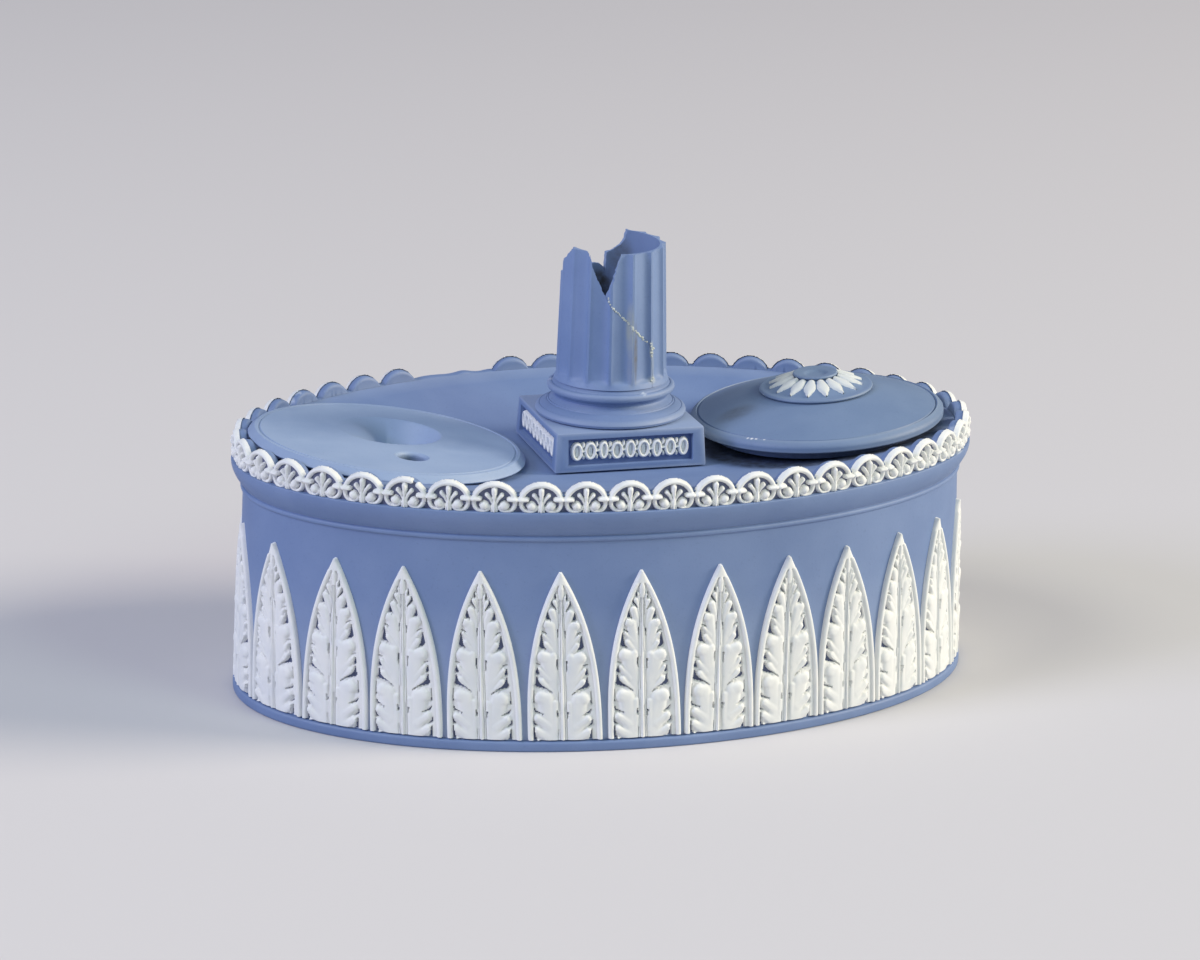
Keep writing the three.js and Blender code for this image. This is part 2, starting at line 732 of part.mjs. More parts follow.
function lid() {
  const face = lidRadius - lidBevel;
  const under = -lidRim;
  const inside = neckRadius + tiltGap;
  const slope = face - knobRadius;
  return turned([
    [0, lidDome - lidWall],
    [knobRadius - 2, lidDome - lidWall - edgeRound],
    [inside, under + neckHeight],
    [inside, under],
    [lidRadius - edgeRound, under],
    [lidRadius, under + edgeRound],
    [lidRadius - edgeRound, under + 1.1],
    [face, 0],
    [knobRadius + slope * 0.59, lidDome * 0.5],
    [knobRadius + slope * 0.07, lidDome * 0.92],
    [0, lidDome],
  ], 36);
}

// Knob: a flat ring, a low dome and a dished button, luted to the lid
function lidKnob() {
  const rim = domeTop + buttonThickness;
  return turned([
    [0, knobBottom],
    [knobRadius - edgeRound, knobBottom],
    [knobRadius, knobBottom + edgeRound],
    [knobRadius - edgeRound, domeFoot],
    [domeRadius, domeFoot],
    [buttonRadius - edgeRound, domeTop],
    [buttonRadius, domeTop + edgeRound],
    [buttonRadius, rim],
    [buttonRadius - buttonLip, rim],
    [buttonRadius - buttonLip - edgeRound, domeTop + edgeRound],
    [0, domeTop],
  ], 28);
}

// White petals laid on the dome, in one ring with pointed tips
function petalRing() {
  const inner = buttonRadius + edgeRound;
  const slope = (domeTop - domeFoot) / (domeRadius - buttonRadius + edgeRound);
  const dome = (r) => domeFoot + (domeRadius - r) * slope + tiltGap;
  const rows = [];
  for (let i = 0; i < 2 * petalCount; i += 1) {
    const angle = rad(petalTurn) + (Math.PI * i) / petalCount;
    const outer = i % 2 ? petalReach : inner + petalValley;
    const spot = (r, z) => new THREE.Vector3(r * Math.cos(angle), r * Math.sin(angle), z);
    rows.push([
      spot(inner, dome(inner)),
      spot(outer, dome(outer)),
      spot(outer, dome(outer) + petalThickness),
      spot(inner, dome(inner) + petalThickness),
    ]);
  }
  return gridBody(rows);
}

addPiece('drum_base', drumBase(), 'blue');
addPiece('drum_wall', drumWall(), 'blue');
addPiece('top_tray', topTray(), 'blue');
addPiece('gallery_wall', galleryWall(), 'blue');
addPiece('gallery_frieze', galleryFrieze(), 'white');
for (let i = 0; i < leafCount; i += 1) {
  addPiece(`leaf_${String(i + 1).padStart(2, '0')}`, leafSprig(i), 'white');
}

const column = new THREE.Group();
column.position.x = columnX;
inkstand.add(column);
addPiece('plinth', plinth(), 'blue', column);
for (const [side, turn] of Object.entries(sides)) {
  const chain = addPiece(`plinth_chain_${side}`, panelChain(), 'white', column);
  chain.rotation.z = rad(turn);
}
addPiece('column_base', columnBase(), 'blue', column);
const brokenTube = cutBy(shaftTube(), ...lostPieces());
addPiece('column_shaft', cutBy(brokenTube, fragmentBlock(-seatGap)), 'blue', column);
addPiece('column_fragment', common(brokenTube, fragmentBlock(seatGap)), 'blue', column);

const leftWell = new THREE.Group();
leftWell.position.set(coverX, 0, coverHeight);
leftWell.rotation.y = coverTilt;
inkstand.add(leftWell);
addPiece('well_pot', wellPot(coverHeight - potFloor), 'blue', leftWell);
addPiece('well_cover', wellCover(), 'blue', leftWell);

const rightWell = new THREE.Group();
rightWell.position.set(lidX, 0, lidHeight);
rightWell.rotation.y = lidTilt;
inkstand.add(rightWell);
addPiece('collar_pot', collarPot(lidHeight - potFloor), 'blue', rightWell);
addPiece('lid', lid(), 'blue', rightWell);
addPiece('lid_knob', lidKnob(), 'blue', rightWell);
addPiece('lid_petals', petalRing(), 'white', rightWell);

export default inkstand;
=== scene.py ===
import json
import math

import bmesh
import bpy
from mathutils import Matrix, Vector, noise

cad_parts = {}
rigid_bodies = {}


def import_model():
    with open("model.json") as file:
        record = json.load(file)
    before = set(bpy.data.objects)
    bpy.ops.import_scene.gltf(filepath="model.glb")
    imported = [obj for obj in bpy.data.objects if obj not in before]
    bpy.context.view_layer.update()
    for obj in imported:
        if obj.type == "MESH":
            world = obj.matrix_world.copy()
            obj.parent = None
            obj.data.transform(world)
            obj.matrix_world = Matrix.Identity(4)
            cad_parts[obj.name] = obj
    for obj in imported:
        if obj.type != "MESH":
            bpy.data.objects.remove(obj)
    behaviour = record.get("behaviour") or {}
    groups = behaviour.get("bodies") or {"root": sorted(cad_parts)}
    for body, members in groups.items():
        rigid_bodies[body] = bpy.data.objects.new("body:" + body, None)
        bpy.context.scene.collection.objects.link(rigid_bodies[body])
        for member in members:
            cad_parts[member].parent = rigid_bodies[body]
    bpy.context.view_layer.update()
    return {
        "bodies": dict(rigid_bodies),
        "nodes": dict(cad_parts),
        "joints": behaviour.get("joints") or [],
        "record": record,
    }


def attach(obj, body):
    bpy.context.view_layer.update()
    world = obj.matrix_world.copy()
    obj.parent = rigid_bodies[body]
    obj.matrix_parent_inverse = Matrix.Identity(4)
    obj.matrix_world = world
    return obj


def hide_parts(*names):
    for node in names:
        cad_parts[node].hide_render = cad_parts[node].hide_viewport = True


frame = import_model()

mm = 0.001  # every size below is in millimetres
scene = bpy.context.scene
noise.seed_set(5)  # the same torn edges in every run
print("frame loaded")

# Camera, from the photograph: sizes in millimetres, focal length in pixels of a 1200 pixel frame
view = {
    "at": (-204.53, -699.12, 257.69),
    "towards": (0.267661, 0.920932, -0.283268),
    "roll": 1.262,
    "focal": 3527.6,
    "frame": 1200,
    "sensor": 36,
    "near": 0.01,  # metres
}


def makeCamera():
    forward = Vector(view["towards"]).normalized()
    right = forward.cross(Vector((0, 0, 1))).normalized()
    turned = Matrix.Rotation(math.radians(-view["roll"]), 3, forward)
    right = turned @ right
    up = right.cross(forward)
    lens = bpy.data.cameras.new("camera")
    lens.sensor_width = view["sensor"]
    lens.lens = view["focal"] / view["frame"] * view["sensor"]
    lens.clip_start = view["near"]
    eye = bpy.data.objects.new("camera", lens)
    scene.collection.objects.link(eye)
    turn = Matrix((right, up, -forward)).transposed().to_4x4()
    eye.matrix_world = Matrix.Translation(Vector(view["at"]) * mm) @ turn
    scene.camera = eye


# Soft lamps: size and place in metres, power in watts
studio = {
    "left": {"at": (-2.10, -0.45, 1.25), "size": 0.8, "power": 24, "colour": (0.63, 0.66, 1.0)},
    "high": {"at": (-1.55, -0.45, 2.0), "size": 0.9, "power": 17, "colour": (1.0, 0.98, 0.82)},
    "right": {"at": (3.2, -0.87, 1.7), "size": 1.33, "power": 127, "colour": (1.0, 0.87, 0.70)},
    "front": {"at": (1.25, -1.6, 1.5), "size": 0.9, "power": 12.5, "colour": (0.82, 1.0, 0.78)},
    "sky": (0.72, 0.79, 1.0),
    "skyStrength": 0.355,
    "floor": (0.61, 0.602, 0.618),
    "floorRough": 0.9,
    "floorSize": 12,
    "aim": (0, 0, 0.04),
}


def meshObject(name, bm, paints):
    mesh = bpy.data.meshes.new(name)
    bm.to_mesh(mesh)
    bm.free()
    for paint in paints:
        mesh.materials.append(paint)
    made = bpy.data.objects.new(name, mesh)
    scene.collection.objects.link(made)
    return made


def makeStudio():
    for name in ("left", "high", "right", "front"):
        sizes = studio[name]
        lamp = bpy.data.lights.new(name, "AREA")
        lamp.shape = "DISK"
        lamp.size = sizes["size"]
        lamp.energy = sizes["power"]
        lamp.color = sizes["colour"]
        holder = bpy.data.objects.new(name, lamp)
        scene.collection.objects.link(holder)
        aim = Vector(studio["aim"]) - Vector(sizes["at"])
        turn = aim.to_track_quat("-Z", "Y").to_matrix().to_4x4()
        holder.matrix_world = Matrix.Translation(sizes["at"]) @ turn
    sky = bpy.data.worlds.new("sky")
    sky.use_nodes = True
    background = sky.node_tree.nodes["Background"]
    background.inputs["Color"].default_value = (*studio["sky"], 1)
    background.inputs["Strength"].default_value = studio["skyStrength"]
    scene.world = sky
    bm = bmesh.new()
    bmesh.ops.create_grid(bm, x_segments=2, y_segments=2, size=studio["floorSize"])
    paint = Paint("paper")
    paint.surface(studio["floor"], studio["floorRough"])
    meshObject("floor", bm, [paint.material])
    print("studio made")


# Shader maths: a socket with the usual signs, and a material that hands out nodes
class Link:
    def __init__(self, paint, socket):
        self.paint = paint
        self.socket = socket

    def maths(self, operation, first, second):
        return self.paint.node("ShaderNodeMath", {"operation": operation}, {0: first, 1: second})

    def __add__(self, other):
        return self.maths("ADD", self, other)

    def __radd__(self, other):
        return self.maths("ADD", other, self)

    def __sub__(self, other):
        return self.maths("SUBTRACT", self, other)

    def __rsub__(self, other):
        return self.maths("SUBTRACT", other, self)

    def __mul__(self, other):
        return self.maths("MULTIPLY", self, other)

    def __rmul__(self, other):
        return self.maths("MULTIPLY", other, self)


bumpDepth = 0.00008  # metres


class Paint:
    def __init__(self, name):
        self.material = bpy.data.materials.new(name)
        self.material.use_nodes = True
        self.tree = self.material.node_tree
        self.shader = self.tree.nodes["Principled BSDF"]
        self.place = None

    def node(self, kind, settings, values, out=0):
        made = self.tree.nodes.new(kind)
        for key, value in settings.items():
            setattr(made, key, value)
        for key, value in values.items():
            self.feed(made.inputs[key], value)
        return Link(self, made.outputs[out])

    def feed(self, socket, value):
        if isinstance(value, Link):
            self.tree.links.new(value.socket, socket)
        elif isinstance(value, tuple) and len(value) == 3 and socket.type == "RGBA":
            socket.default_value = (*value, 1)
        else:
            socket.default_value = value

    def coordinate(self):
        if self.place is None:
            self.place = self.node("ShaderNodeTexCoord", {}, {}, "Object")
        return self.place

    def grain(self, scale, detail=2.0, rough=0.5):
        values = {"Vector": self.coordinate(), "Scale": scale, "Detail": detail, "Roughness": rough}
        return self.node("ShaderNodeTexNoise", {}, values, "Fac")

    def edges(self):  # above 0.5 on a raised edge, below it in a hollow
        return self.node("ShaderNodeNewGeometry", {}, {}, "Pointiness")

    def ramp(self, factor, *stops):  # two stops, each a place and its grey
        greys = self.node("ShaderNodeValToRGB", {}, {"Fac": factor})
        for element, (position, grey) in zip(greys.socket.node.color_ramp.elements, stops):
            element.position = position
            element.color = (grey, grey, grey, 1)
        return greys

    def mix(self, factor, first, second):
        settings = {"data_type": "RGBA"}
        return self.node("ShaderNodeMix", settings, {0: factor, 6: first, 7: second}, 2)

    def near(self, point, reach, soft):  # 1 well inside a stretched ball, 0 outside it
        away = self.node("ShaderNodeVectorMath", {"operation": "SUBTRACT"}, {0: self.coordinate(), 1: point})
        scaled = self.node("ShaderNodeVectorMath", {"operation": "DIVIDE"}, {0: away, 1: reach})
        length = self.node("ShaderNodeVectorMath", {"operation": "LENGTH"}, {0: scaled}, "Value")
        values = {"Value": length, "From Min": 1.0, "From Max": 1.0 - soft, "To Min": 0.0, "To Max": 1.0}
        return self.node("ShaderNodeMapRange", {"interpolation_type": "SMOOTHSTEP"}, values)

    def surface(self, colour, rough, shine=0.3):
        self.feed(self.shader.inputs["Base Color"], colour)
        self.feed(self.shader.inputs["Roughness"], rough)
        self.feed(self.shader.inputs["Specular IOR Level"], shine)

    def bumps(self, height, strength):
        values = {"Height": height, "Strength": strength, "Distance": bumpDepth}
        self.feed(self.shader.inputs["Normal"], self.node("ShaderNodeBump", {}, values, "Normal"))


# The two clays: a grain is its scale, detail and roughness
blueClay = {
    "colour": (0.138, 0.216, 0.415),
    "pale": (0.175, 0.258, 0.460),
    "deep": (0.110, 0.180, 0.365),
    "worn": (0.430, 0.510, 0.640),
    "speck": (0.095, 0.145, 0.270),
    "ground": (0.42, 0.37, 0.42),  # how much darker the gallery's ground is painted: painted shade behind the relief, partly darker clay
    "cover": (1.90, 1.68, 1.34),  # and how pale and grey the left cover is painted: painted sheen, partly a paler clay
    # painted sheen: the lid's clay a little paler and greyer
    "lid": (1.05, 1.03, 0.90),
    # painted light: the shaft's clay made brighter
    "shaft": (1.14, 1.12, 1.08),
    # paler broken faces: painted highlight along the break, partly paler broken clay
    "break": (1.25, 1.2, 1.1),
    "panel": (0.50, 0.57, 0.76),  # painted shade on the floor of the plinth's sunk panels
    "even": 0.55,  # share of the plain colour over the clouds
    "clouds": (38, 3.0, 0.55),
    "cloudStops": ((0.35, 0.0), (0.70, 1.0)),
    "patches": (140, 2.0, 0.5),
    "patchStops": ((0.45, 0.0), (0.75, 0.35)),
    "fine": (1900, 2.0, 0.6),
    "speckStops": ((0.62, 0.0), (0.78, 0.4)),
    "wear": (0.53, 0.62),  # how sharp an edge is where wear begins, and where it is full
    "rough": 0.62,
    "roughSpread": 0.12,
    "shine": 0.9,
    "bump": 0.35,
}
whiteClay = {
    "colour": (0.810, 0.825, 0.815),
    "thin": (0.57, 0.63, 0.71),
    # darker in hollows: grime and painted shade
    "grimeAndShade": (0.52, 0.51, 0.46),
    "petals": (0.65, 0.685, 0.69),
    "clouds": (220, 2.0, 0.5),
    "thinStops": ((0.40, 0.0), (0.80, 0.30)),
    "fine": (2400, 2.0, 0.6),
    "grimeAndShadeStops": (0.40, 0.50),  # how deep a hollow is where the darkening is full, and where it ends
    "rough": 0.62,
    "roughSpread": 0.1,
    "bump": 0.3,
}


def bluePaint(name, extra=None, wear=0.7):
    paint = Paint(name)
    clouds, patches, fine = (paint.grain(*blueClay[kind]) for kind in ("clouds", "patches", "fine"))
    colour = paint.mix(paint.ramp(clouds, *blueClay["cloudStops"]), blueClay["deep"], blueClay["pale"])
    colour = paint.mix(blueClay["even"], colour, blueClay["colour"])
    colour = paint.mix(paint.ramp(patches, *blueClay["patchStops"]), colour, blueClay["pale"])
    colour = paint.mix(paint.ramp(fine, *blueClay["speckStops"]), colour, blueClay["speck"])
    if wear:
        begin, full = blueClay["wear"]
        colour = paint.mix(paint.ramp(paint.edges(), (begin, 0.0), (full, wear)), colour, blueClay["worn"])
    if extra:
        colour = extra(paint, colour)
    paint.surface(colour, blueClay["rough"] + (fine - 0.5) * blueClay["roughSpread"], blueClay["shine"])
    paint.bumps(fine * 0.6 + patches * 0.4, blueClay["bump"])
    return paint.material


def tint(key):
    settings = {"data_type": "RGBA", "blend_type": "MULTIPLY"}
    return lambda paint, colour: paint.node("ShaderNodeMix", settings,
                                            {0: 1.0, 6: colour, 7: blueClay[key]}, 2)


def inTurn(*changes):
    def extra(paint, colour):
        for change in changes:
            colour = change(paint, colour)
        return colour
    return extra


marksAndShade = {
    "grain": (700, 3.0, 0.6),
    "stops": ((0.25, 0.55), (0.6, 1.0)),
    "soft": 0.7,
    "chalk": (0.85, 0.86, 0.84),
    # painted shade, for the gap below the lid
    "paintedShade": (0.012, 0.020, 0.045),
}


def marked(marks, soft=marksAndShade["soft"]):  # stains, chips and painted shade at (place, reach, share, colour), in millimetres
    def extra(paint, colour):
        cloud = paint.ramp(paint.grain(*marksAndShade["grain"]), *marksAndShade["stops"])
        for place, reach, share, tint in marks:
            mask = paint.near(tuple(x * mm for x in place), tuple(x * mm for x in reach), soft)
            colour = paint.mix(mask * cloud * share, colour, tint)
        return colour
    return extra


shaftStainsAndShade = (
    ((1.3, -11.2, 78.5), (1.15, 2.5, 7.5), 0.65, (0.36, 0.39, 0.33)),  # yellow, below the crack
    ((2.6, -11.0, 73.0), (0.75, 2.5, 8.5), 0.85, (0.11, 0.115, 0.13)),
    ((1.5, -11.2, 70.0), (1.0, 2.5, 6.0), 0.35, (0.30, 0.33, 0.34)),
    ((0.2, 8.4, 83.5), (4.2, 5.0, 6.0), 1.0, (0.022, 0.022, 0.024)),  # inside, behind the notch, with the next: painted shade in the hollow, partly a dark stain
    ((4.2, 8.4, 90.0), (4.0, 4.5, 5.5), 0.75, (0.075, 0.095, 0.125)),
    ((6.5, -9.8, 73.6), (0.75, 2.5, 2.6), 0.55, (0.55, 0.60, 0.56)),
    ((6.9, -9.7, 70.0), (0.9, 2.5, 4.5), 0.4, (0.36, 0.41, 0.42)),
    ((6.7, -9.6, 67.2), (1.5, 2.5, 1.3), 0.5, (0.50, 0.55, 0.52)),
    ((11.3, -3.9, 69.9), (0.5, 1.0, 0.35), 1.0, (0.03, 0.03, 0.04)),
)
trayShade = (  # painted shade on the plate in the gap below the lid
    ((47.0, 0, 51.0), (33.0, 33.0, 7.0), 0.95, marksAndShade["paintedShade"]),
)
potCollarShade = (  # and painted shade on the pot's collar in that gap
    ((47.35, 0, 53.0), (27.0, 27.0, 5.0), 0.95, marksAndShade["paintedShade"]),
)
lidChipsAndShadow = (
    ((27.6, -3.9, 57.2), (6.0, 4.2, 5.0), 0.55, (0.07, 0.09, 0.125)),  # a painted shadow of the column
    ((26.3, -16.2, 55.1), (0.55, 0.4, 0.5), 1.0, marksAndShade["chalk"]),  # chips on the incised line
    ((27.0, -16.9, 55.1), (0.6, 0.45, 0.5), 1.0, marksAndShade["chalk"]),
    ((27.8, -17.6, 55.2), (0.5, 0.4, 0.5), 1.0, marksAndShade["chalk"]),
    ((29.2, -18.9, 55.3), (0.45, 0.35, 0.5), 1.0, marksAndShade["chalk"]),
)


def whitePaint(name, grimeAndShade=0.55, colour=whiteClay["colour"]):
    paint = Paint(name)
    clouds, fine = (paint.grain(*whiteClay[kind]) for kind in ("clouds", "fine"))
    colour = paint.mix(paint.ramp(clouds, *whiteClay["thinStops"]), colour, whiteClay["thin"])
    if grimeAndShade:
        full, end = whiteClay["grimeAndShadeStops"]
        # hollows darkened: grime and painted shade
        colour = paint.mix(paint.ramp(paint.edges(), (full, grimeAndShade), (end, 0.0)), colour, whiteClay["grimeAndShade"])
    paint.surface(colour, whiteClay["rough"] + (fine - 0.5) * whiteClay["roughSpread"])
    paint.bumps(fine * 0.5 + clouds * 0.5, whiteClay["bump"])
    return paint.material


# The oval that the drum, its relief and its gallery follow, walked by length
oval = {
    "halfLength": 80.0,
    "halfWidth": 49.6,
    "guide": 1000.0,  # round pieces are spun on this radius, then laid on the oval
    "samples": 4096,
}


def ovalSpot(t):
    return Vector((oval["halfLength"] * math.cos(t), oval["halfWidth"] * math.sin(t), 0))


def walkOval():
    count, table = oval["samples"], []
    spots = [ovalSpot(2 * math.pi * i / count) for i in range(count + 1)]
    lengths = [0.0]
    for here, there in zip(spots, spots[1:]):
        lengths.append(lengths[-1] + (there - here).length)
    low = 0
    for i in range(count):
        wanted = i / count * lengths[-1]
        while lengths[low + 1] <= wanted:
            low += 1
        part = (wanted - lengths[low]) / (lengths[low + 1] - lengths[low])
        t = 2 * math.pi * (low + part) / count
        side = Vector((oval["halfWidth"] * math.cos(t), oval["halfLength"] * math.sin(t), 0)).normalized()
        table.append((ovalSpot(t), side))
    return table, lengths[-1]


ovalTable, ovalRound = walkOval()


def ovalPoint(share, out, z):
    place = (share % 1) * oval["samples"]
    low = int(place) % oval["samples"]
    (here, side), (there, other) = ovalTable[low], ovalTable[(low + 1) % oval["samples"]]
    part = place - int(place)
    point = here.lerp(there, part) + side.lerp(other, part) * out
    point.z = z
    return point


def layOnOval(bm, flatInside=None):  # nearer the middle than flatInside, a plain scaled oval
    for vert in bm.verts:
        share = math.atan2(vert.co.y, vert.co.x) / (2 * math.pi)
        radius = math.hypot(vert.co.x, vert.co.y)
        out = radius - oval["guide"]
        if flatInside is not None and out < flatInside:
            part = radius / (oval["guide"] + flatInside)
            vert.co = (ovalPoint(share, flatInside, 0) * part).to_2d().to_3d() + Vector((0, 0, vert.co.z))
        else:
            vert.co = ovalPoint(share, out, vert.co.z)


# Outlines and turned shapes. A third value at a corner is its rounding.
rounding = 0.48  # share of an edge that a rounded corner may take


def softened(points, steps):
    outline = []
    for i, point in enumerate(points):
        here = Vector(point[:2])
        radius = point[2] if len(point) > 2 else 0
        if not radius:
            outline.append(here)
            continue
        before = Vector(points[i - 1][:2]) - here
        after = Vector(points[(i + 1) % len(points)][:2]) - here
        start = here + before.normalized() * min(radius, before.length * rounding)
        end = here + after.normalized() * min(radius, after.length * rounding)
        for k in range(steps + 1):
            s = k / steps
            outline.append(start * (1 - s) ** 2 + here * 2 * s * (1 - s) + end * s ** 2)
    return outline


def spun(points, steps, corner=4):
    bm = bmesh.new()
    verts = [bm.verts.new((point.x, 0, point.y)) for point in softened(points, corner)]
    edges = [bm.edges.new(pair) for pair in zip(verts, verts[1:])]
    bmesh.ops.spin(bm, geom=verts + edges, cent=(0, 0, 0), axis=(0, 0, 1), angle=2 * math.pi,
                   steps=steps, use_merge=True, use_duplicate=False)
    bmesh.ops.remove_doubles(bm, verts=bm.verts, dist=1e-5)
    bmesh.ops.recalc_face_normals(bm, faces=bm.faces)
    return bm


# Relief: strokes are bent fingers given by (x, z, radius, height) at each bend
def strokeHeight(stroke, x, z, power):
    best = 0.0
    for (ax, az, ar, ah), (bx, bz, br, bh) in zip(stroke, stroke[1:]):
        dx, dz = bx - ax, bz - az
        long = dx * dx + dz * dz
        part = 0.0 if not long else max(0.0, min(1.0, ((x - ax) * dx + (z - az) * dz) / long))
        radius = ar + (br - ar) * part
        away = math.hypot(x - ax - dx * part, z - az - dz * part)
        if away < radius:
            best = max(best, (ah + (bh - ah) * part) * math.sqrt(1 - (away / radius) ** power))
    return best


def bounded(strokes):
    boxes = []
    for stroke in strokes:
        reach = max(bend[2] for bend in stroke)
        xs, zs = [bend[0] for bend in stroke], [bend[1] for bend in stroke]
        boxes.append((min(xs) - reach, max(xs) + reach, min(zs) - reach, max(zs) + reach, stroke))
    return boxes


def heightsAt(boxes, x, z, power=2):
    return [strokeHeight(stroke, x, z, power) for low, high, foot, head, stroke in boxes
            if low < x < high and foot < z < head]


def boxedHeight(boxes, x, z):
    return max(heightsAt(boxes, x, z), default=0.0)


def arc(middle, start, end, startRadius, endRadius, width, height, flat=1.0, steps=16):
    bends = []
    for k in range(steps + 1):
        s = k / steps
        angle = math.radians(start + (end - start) * s)
        radius = startRadius + (endRadius - startRadius) * s
        bends.append((middle[0] + radius * math.cos(angle), middle[1] + radius * flat * math.sin(angle),
                      width, height))
    return bends


def mirrored(stroke):
    return [(-x, z, radius, height) for x, z, radius, height in stroke]


# A flat patch of relief: x along, y the height, z up. What lies under the ground is left out.
def reliefPatch(low, high, tall, cell, strokes, ground):
    boxes = bounded(strokes)
    across, rows = round((high - low) / cell), round(tall / cell)
    bm = bmesh.new()
    bmesh.ops.create_grid(bm, x_segments=across, y_segments=rows, size=1)
    for vert in bm.verts:
        x = low + (high - low) * (vert.co.x + 1) / 2
        z = tall * (vert.co.y + 1) / 2
        vert.co = (x, boxedHeight(boxes, x, z) or ground, z)
    bare = [face for face in bm.faces if all(vert.co.y < ground * 0.99 for vert in face.verts)]
    bmesh.ops.delete(bm, geom=bare, context="FACES")
    return bm


def laidOut(shape, place):  # a copy of a shape with every corner moved by a rule
    bm = shape.copy()
    for vert in bm.verts:
        vert.co = place(vert.co)
    return bm


def gathered(parts):
    whole = bmesh.new()
    for part in parts:
        mesh = bpy.data.meshes.new("part")
        part.to_mesh(mesh)
        part.free()
        whole.from_mesh(mesh)
        bpy.data.meshes.remove(mesh)
    return whole


# Solid cuts: the cutters' faces keep their own paint number
def solid(bm, paint=None):
    bmesh.ops.recalc_face_normals(bm, faces=bm.faces)
    for face in bm.faces if paint is not None else []:
        face.material_index = paint
    return meshObject("solid", bm, (None, None))


def carved(bm, cutters, operation="DIFFERENCE", paint=0):
    body = solid(bm)
    tools = [solid(cutter, paint) for cutter in cutters]
    for tool in tools:
        step = body.modifiers.new("cut", "BOOLEAN")
        step.operation = operation
        step.solver = "EXACT"
        step.object = tool
    bpy.context.view_layer.update()
    result = body.evaluated_get(bpy.context.evaluated_depsgraph_get())
    made = bmesh.new()
    made.from_mesh(result.to_mesh())
    result.to_mesh_clear()
    for used in [body, *tools]:
        mesh = used.data
        bpy.data.objects.remove(used)
        bpy.data.meshes.remove(mesh)
    return made


def upright(outline, near, far):  # a flat outline in X and Z, made thick along Y
    bm = bmesh.new()
    front = bm.faces.new([bm.verts.new((x, near, z)) for x, z in outline])
    pushed = bmesh.ops.extrude_face_region(bm, geom=[front])["geom"]
    fresh = [made for made in pushed if isinstance(made, bmesh.types.BMVert)]
    bmesh.ops.translate(bm, verts=fresh, vec=(0, far - near, 0))
    return bm


def rod(radius, low, high, x, y, sides=48):
    bm = bmesh.new()
    bmesh.ops.create_cone(bm, cap_ends=True, segments=sides, radius1=radius, radius2=radius,
                          depth=high - low, matrix=Matrix.Translation((x, y, (low + high) / 2)))
    return bm


def finishPiece(name, bm, paints, nodes, body="drum", sharp=32):
    bmesh.ops.scale(bm, vec=(mm, mm, mm), verts=bm.verts)
    piece = meshObject(name, bm, paints)
    piece.data.shade_smooth()
    piece.data.set_sharp_from_angle(angle=math.radians(sharp))
    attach(piece, body)
    if nodes:
        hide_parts(*nodes)


# Drum: foot band and wall
drum = {
    "foot": 2.2,  # height of the foot band
    "footOut": 1.05,
    "footRounding": (0.5, 0.7),  # below and above
    "floor": 4.6,
    "wall": 4.2,
    "leanIn": 1.4,
    "bead": 44.9,
    "beadRadius": 0.55,
    "beadFlat": 0.9,  # share of its radius that the bead stands out
    "gap": 0.15,  # between the floor and the wall
    "clear": 0.1,  # above and below the bead
    "steps": 288,
}


def wallOut(z):
    return -drum["leanIn"] * (z - drum["foot"]) / (drum["bead"] - drum["foot"])


def makeDrum(blue):
    guide, wall, clear = oval["guide"], drum["wall"], drum["clear"]
    foot, out, (below, above) = drum["foot"], drum["footOut"], drum["footRounding"]
    pad = wallOut(foot) - wall - drum["gap"]
    outline = [(0, 0), (guide + out, 0, below), (guide + out, foot, above), (guide + pad, foot),
               (guide + pad, drum["floor"]), (0, drum["floor"])]
    bm = spun(outline, drum["steps"])
    layOnOval(bm, pad - 1)
    finishPiece("foot_slab", bm, [blue], ["drum_base"])
    bead, r = drum["bead"], drum["beadRadius"]
    face = wallOut(bead)
    ridge = [(guide + face + r * math.sin(a) * drum["beadFlat"], bead - r * math.cos(a))
             for a in [math.pi * k / 8 for k in range(9)]]
    bottom = foot + 0.02
    outline = [(guide + wallOut(bottom) - wall, bottom), (guide + wallOut(bottom), bottom),
               (guide + wallOut(bead - r) - 0.02, bead - r - clear - 0.02), *ridge,
               (guide + face, bead + r + clear), (guide + face - wall, bead + r + clear)]
    bm = spun([*outline, outline[0]], drum["steps"])
    layOnOval(bm)
    finishPiece("drum_shell", bm, [blue], ["drum_wall"])
    print("drum made")


# Top: the convex band, the ledge and the sunken plate
top = {
    "ledge": 51.0,
    "ledgeRounding": 0.25,
    "bandOut": 1.0,
    "bandEdge": 0.7,
    "bandSwell": 1.7,  # power of the curve from its edge down to the bead
    "bandSteps": 8,
    "seat": 0.12,  # room above the bead
    "plateRim": 54.4,
    "dish": 5.2,
    "dishFlat": 0.25,
    "dishPower": 2.5,
    "plate": 4.0,
    "plateRings": 26,
    "underside": (1, 0.8, 0.6, 0.4, 0.2, 0),  # its rings, in shares of the way out
    "room": 0.35,  # round the pots
    "steps": 288,
}


def plateHeight(part):
    rise = max(0.0, (part - top["dishFlat"]) / (1 - top["dishFlat"]))
    return top["plateRim"] - top["dish"] + top["dish"] * rise ** top["dishPower"]


gallery = {
    "height": 6.1,
    "thick": 2.2,
    "outer": -0.2,
    "rounding": (0.2, 0.8),  # of its top, outside and inside
    "arches": 46,
    "shift": 0.47,
    "archRadius": 4.3,
    "under": 0.14,  # how far the wall stays below the edge of its relief
    "stump": 3.6,
    "lostFrom": 36,
    "lost": 2,
    "torn": 0.5,  # how uneven their stumps are
    "columns": 16,  # steps to an arch
    "spread": 1.8,  # how far the arches at the back have moved apart
    "rise": 1.1,  # how much higher the middle of the back stands
    "slips": (  # arches out of their even pitch in front: how far, and between which shares of the oval
        (-0.75, 0.47, 0.51, 0.645, 0.69),
        (1.7, 0.765, 0.93, 0.95, 1.0),
    ),
}


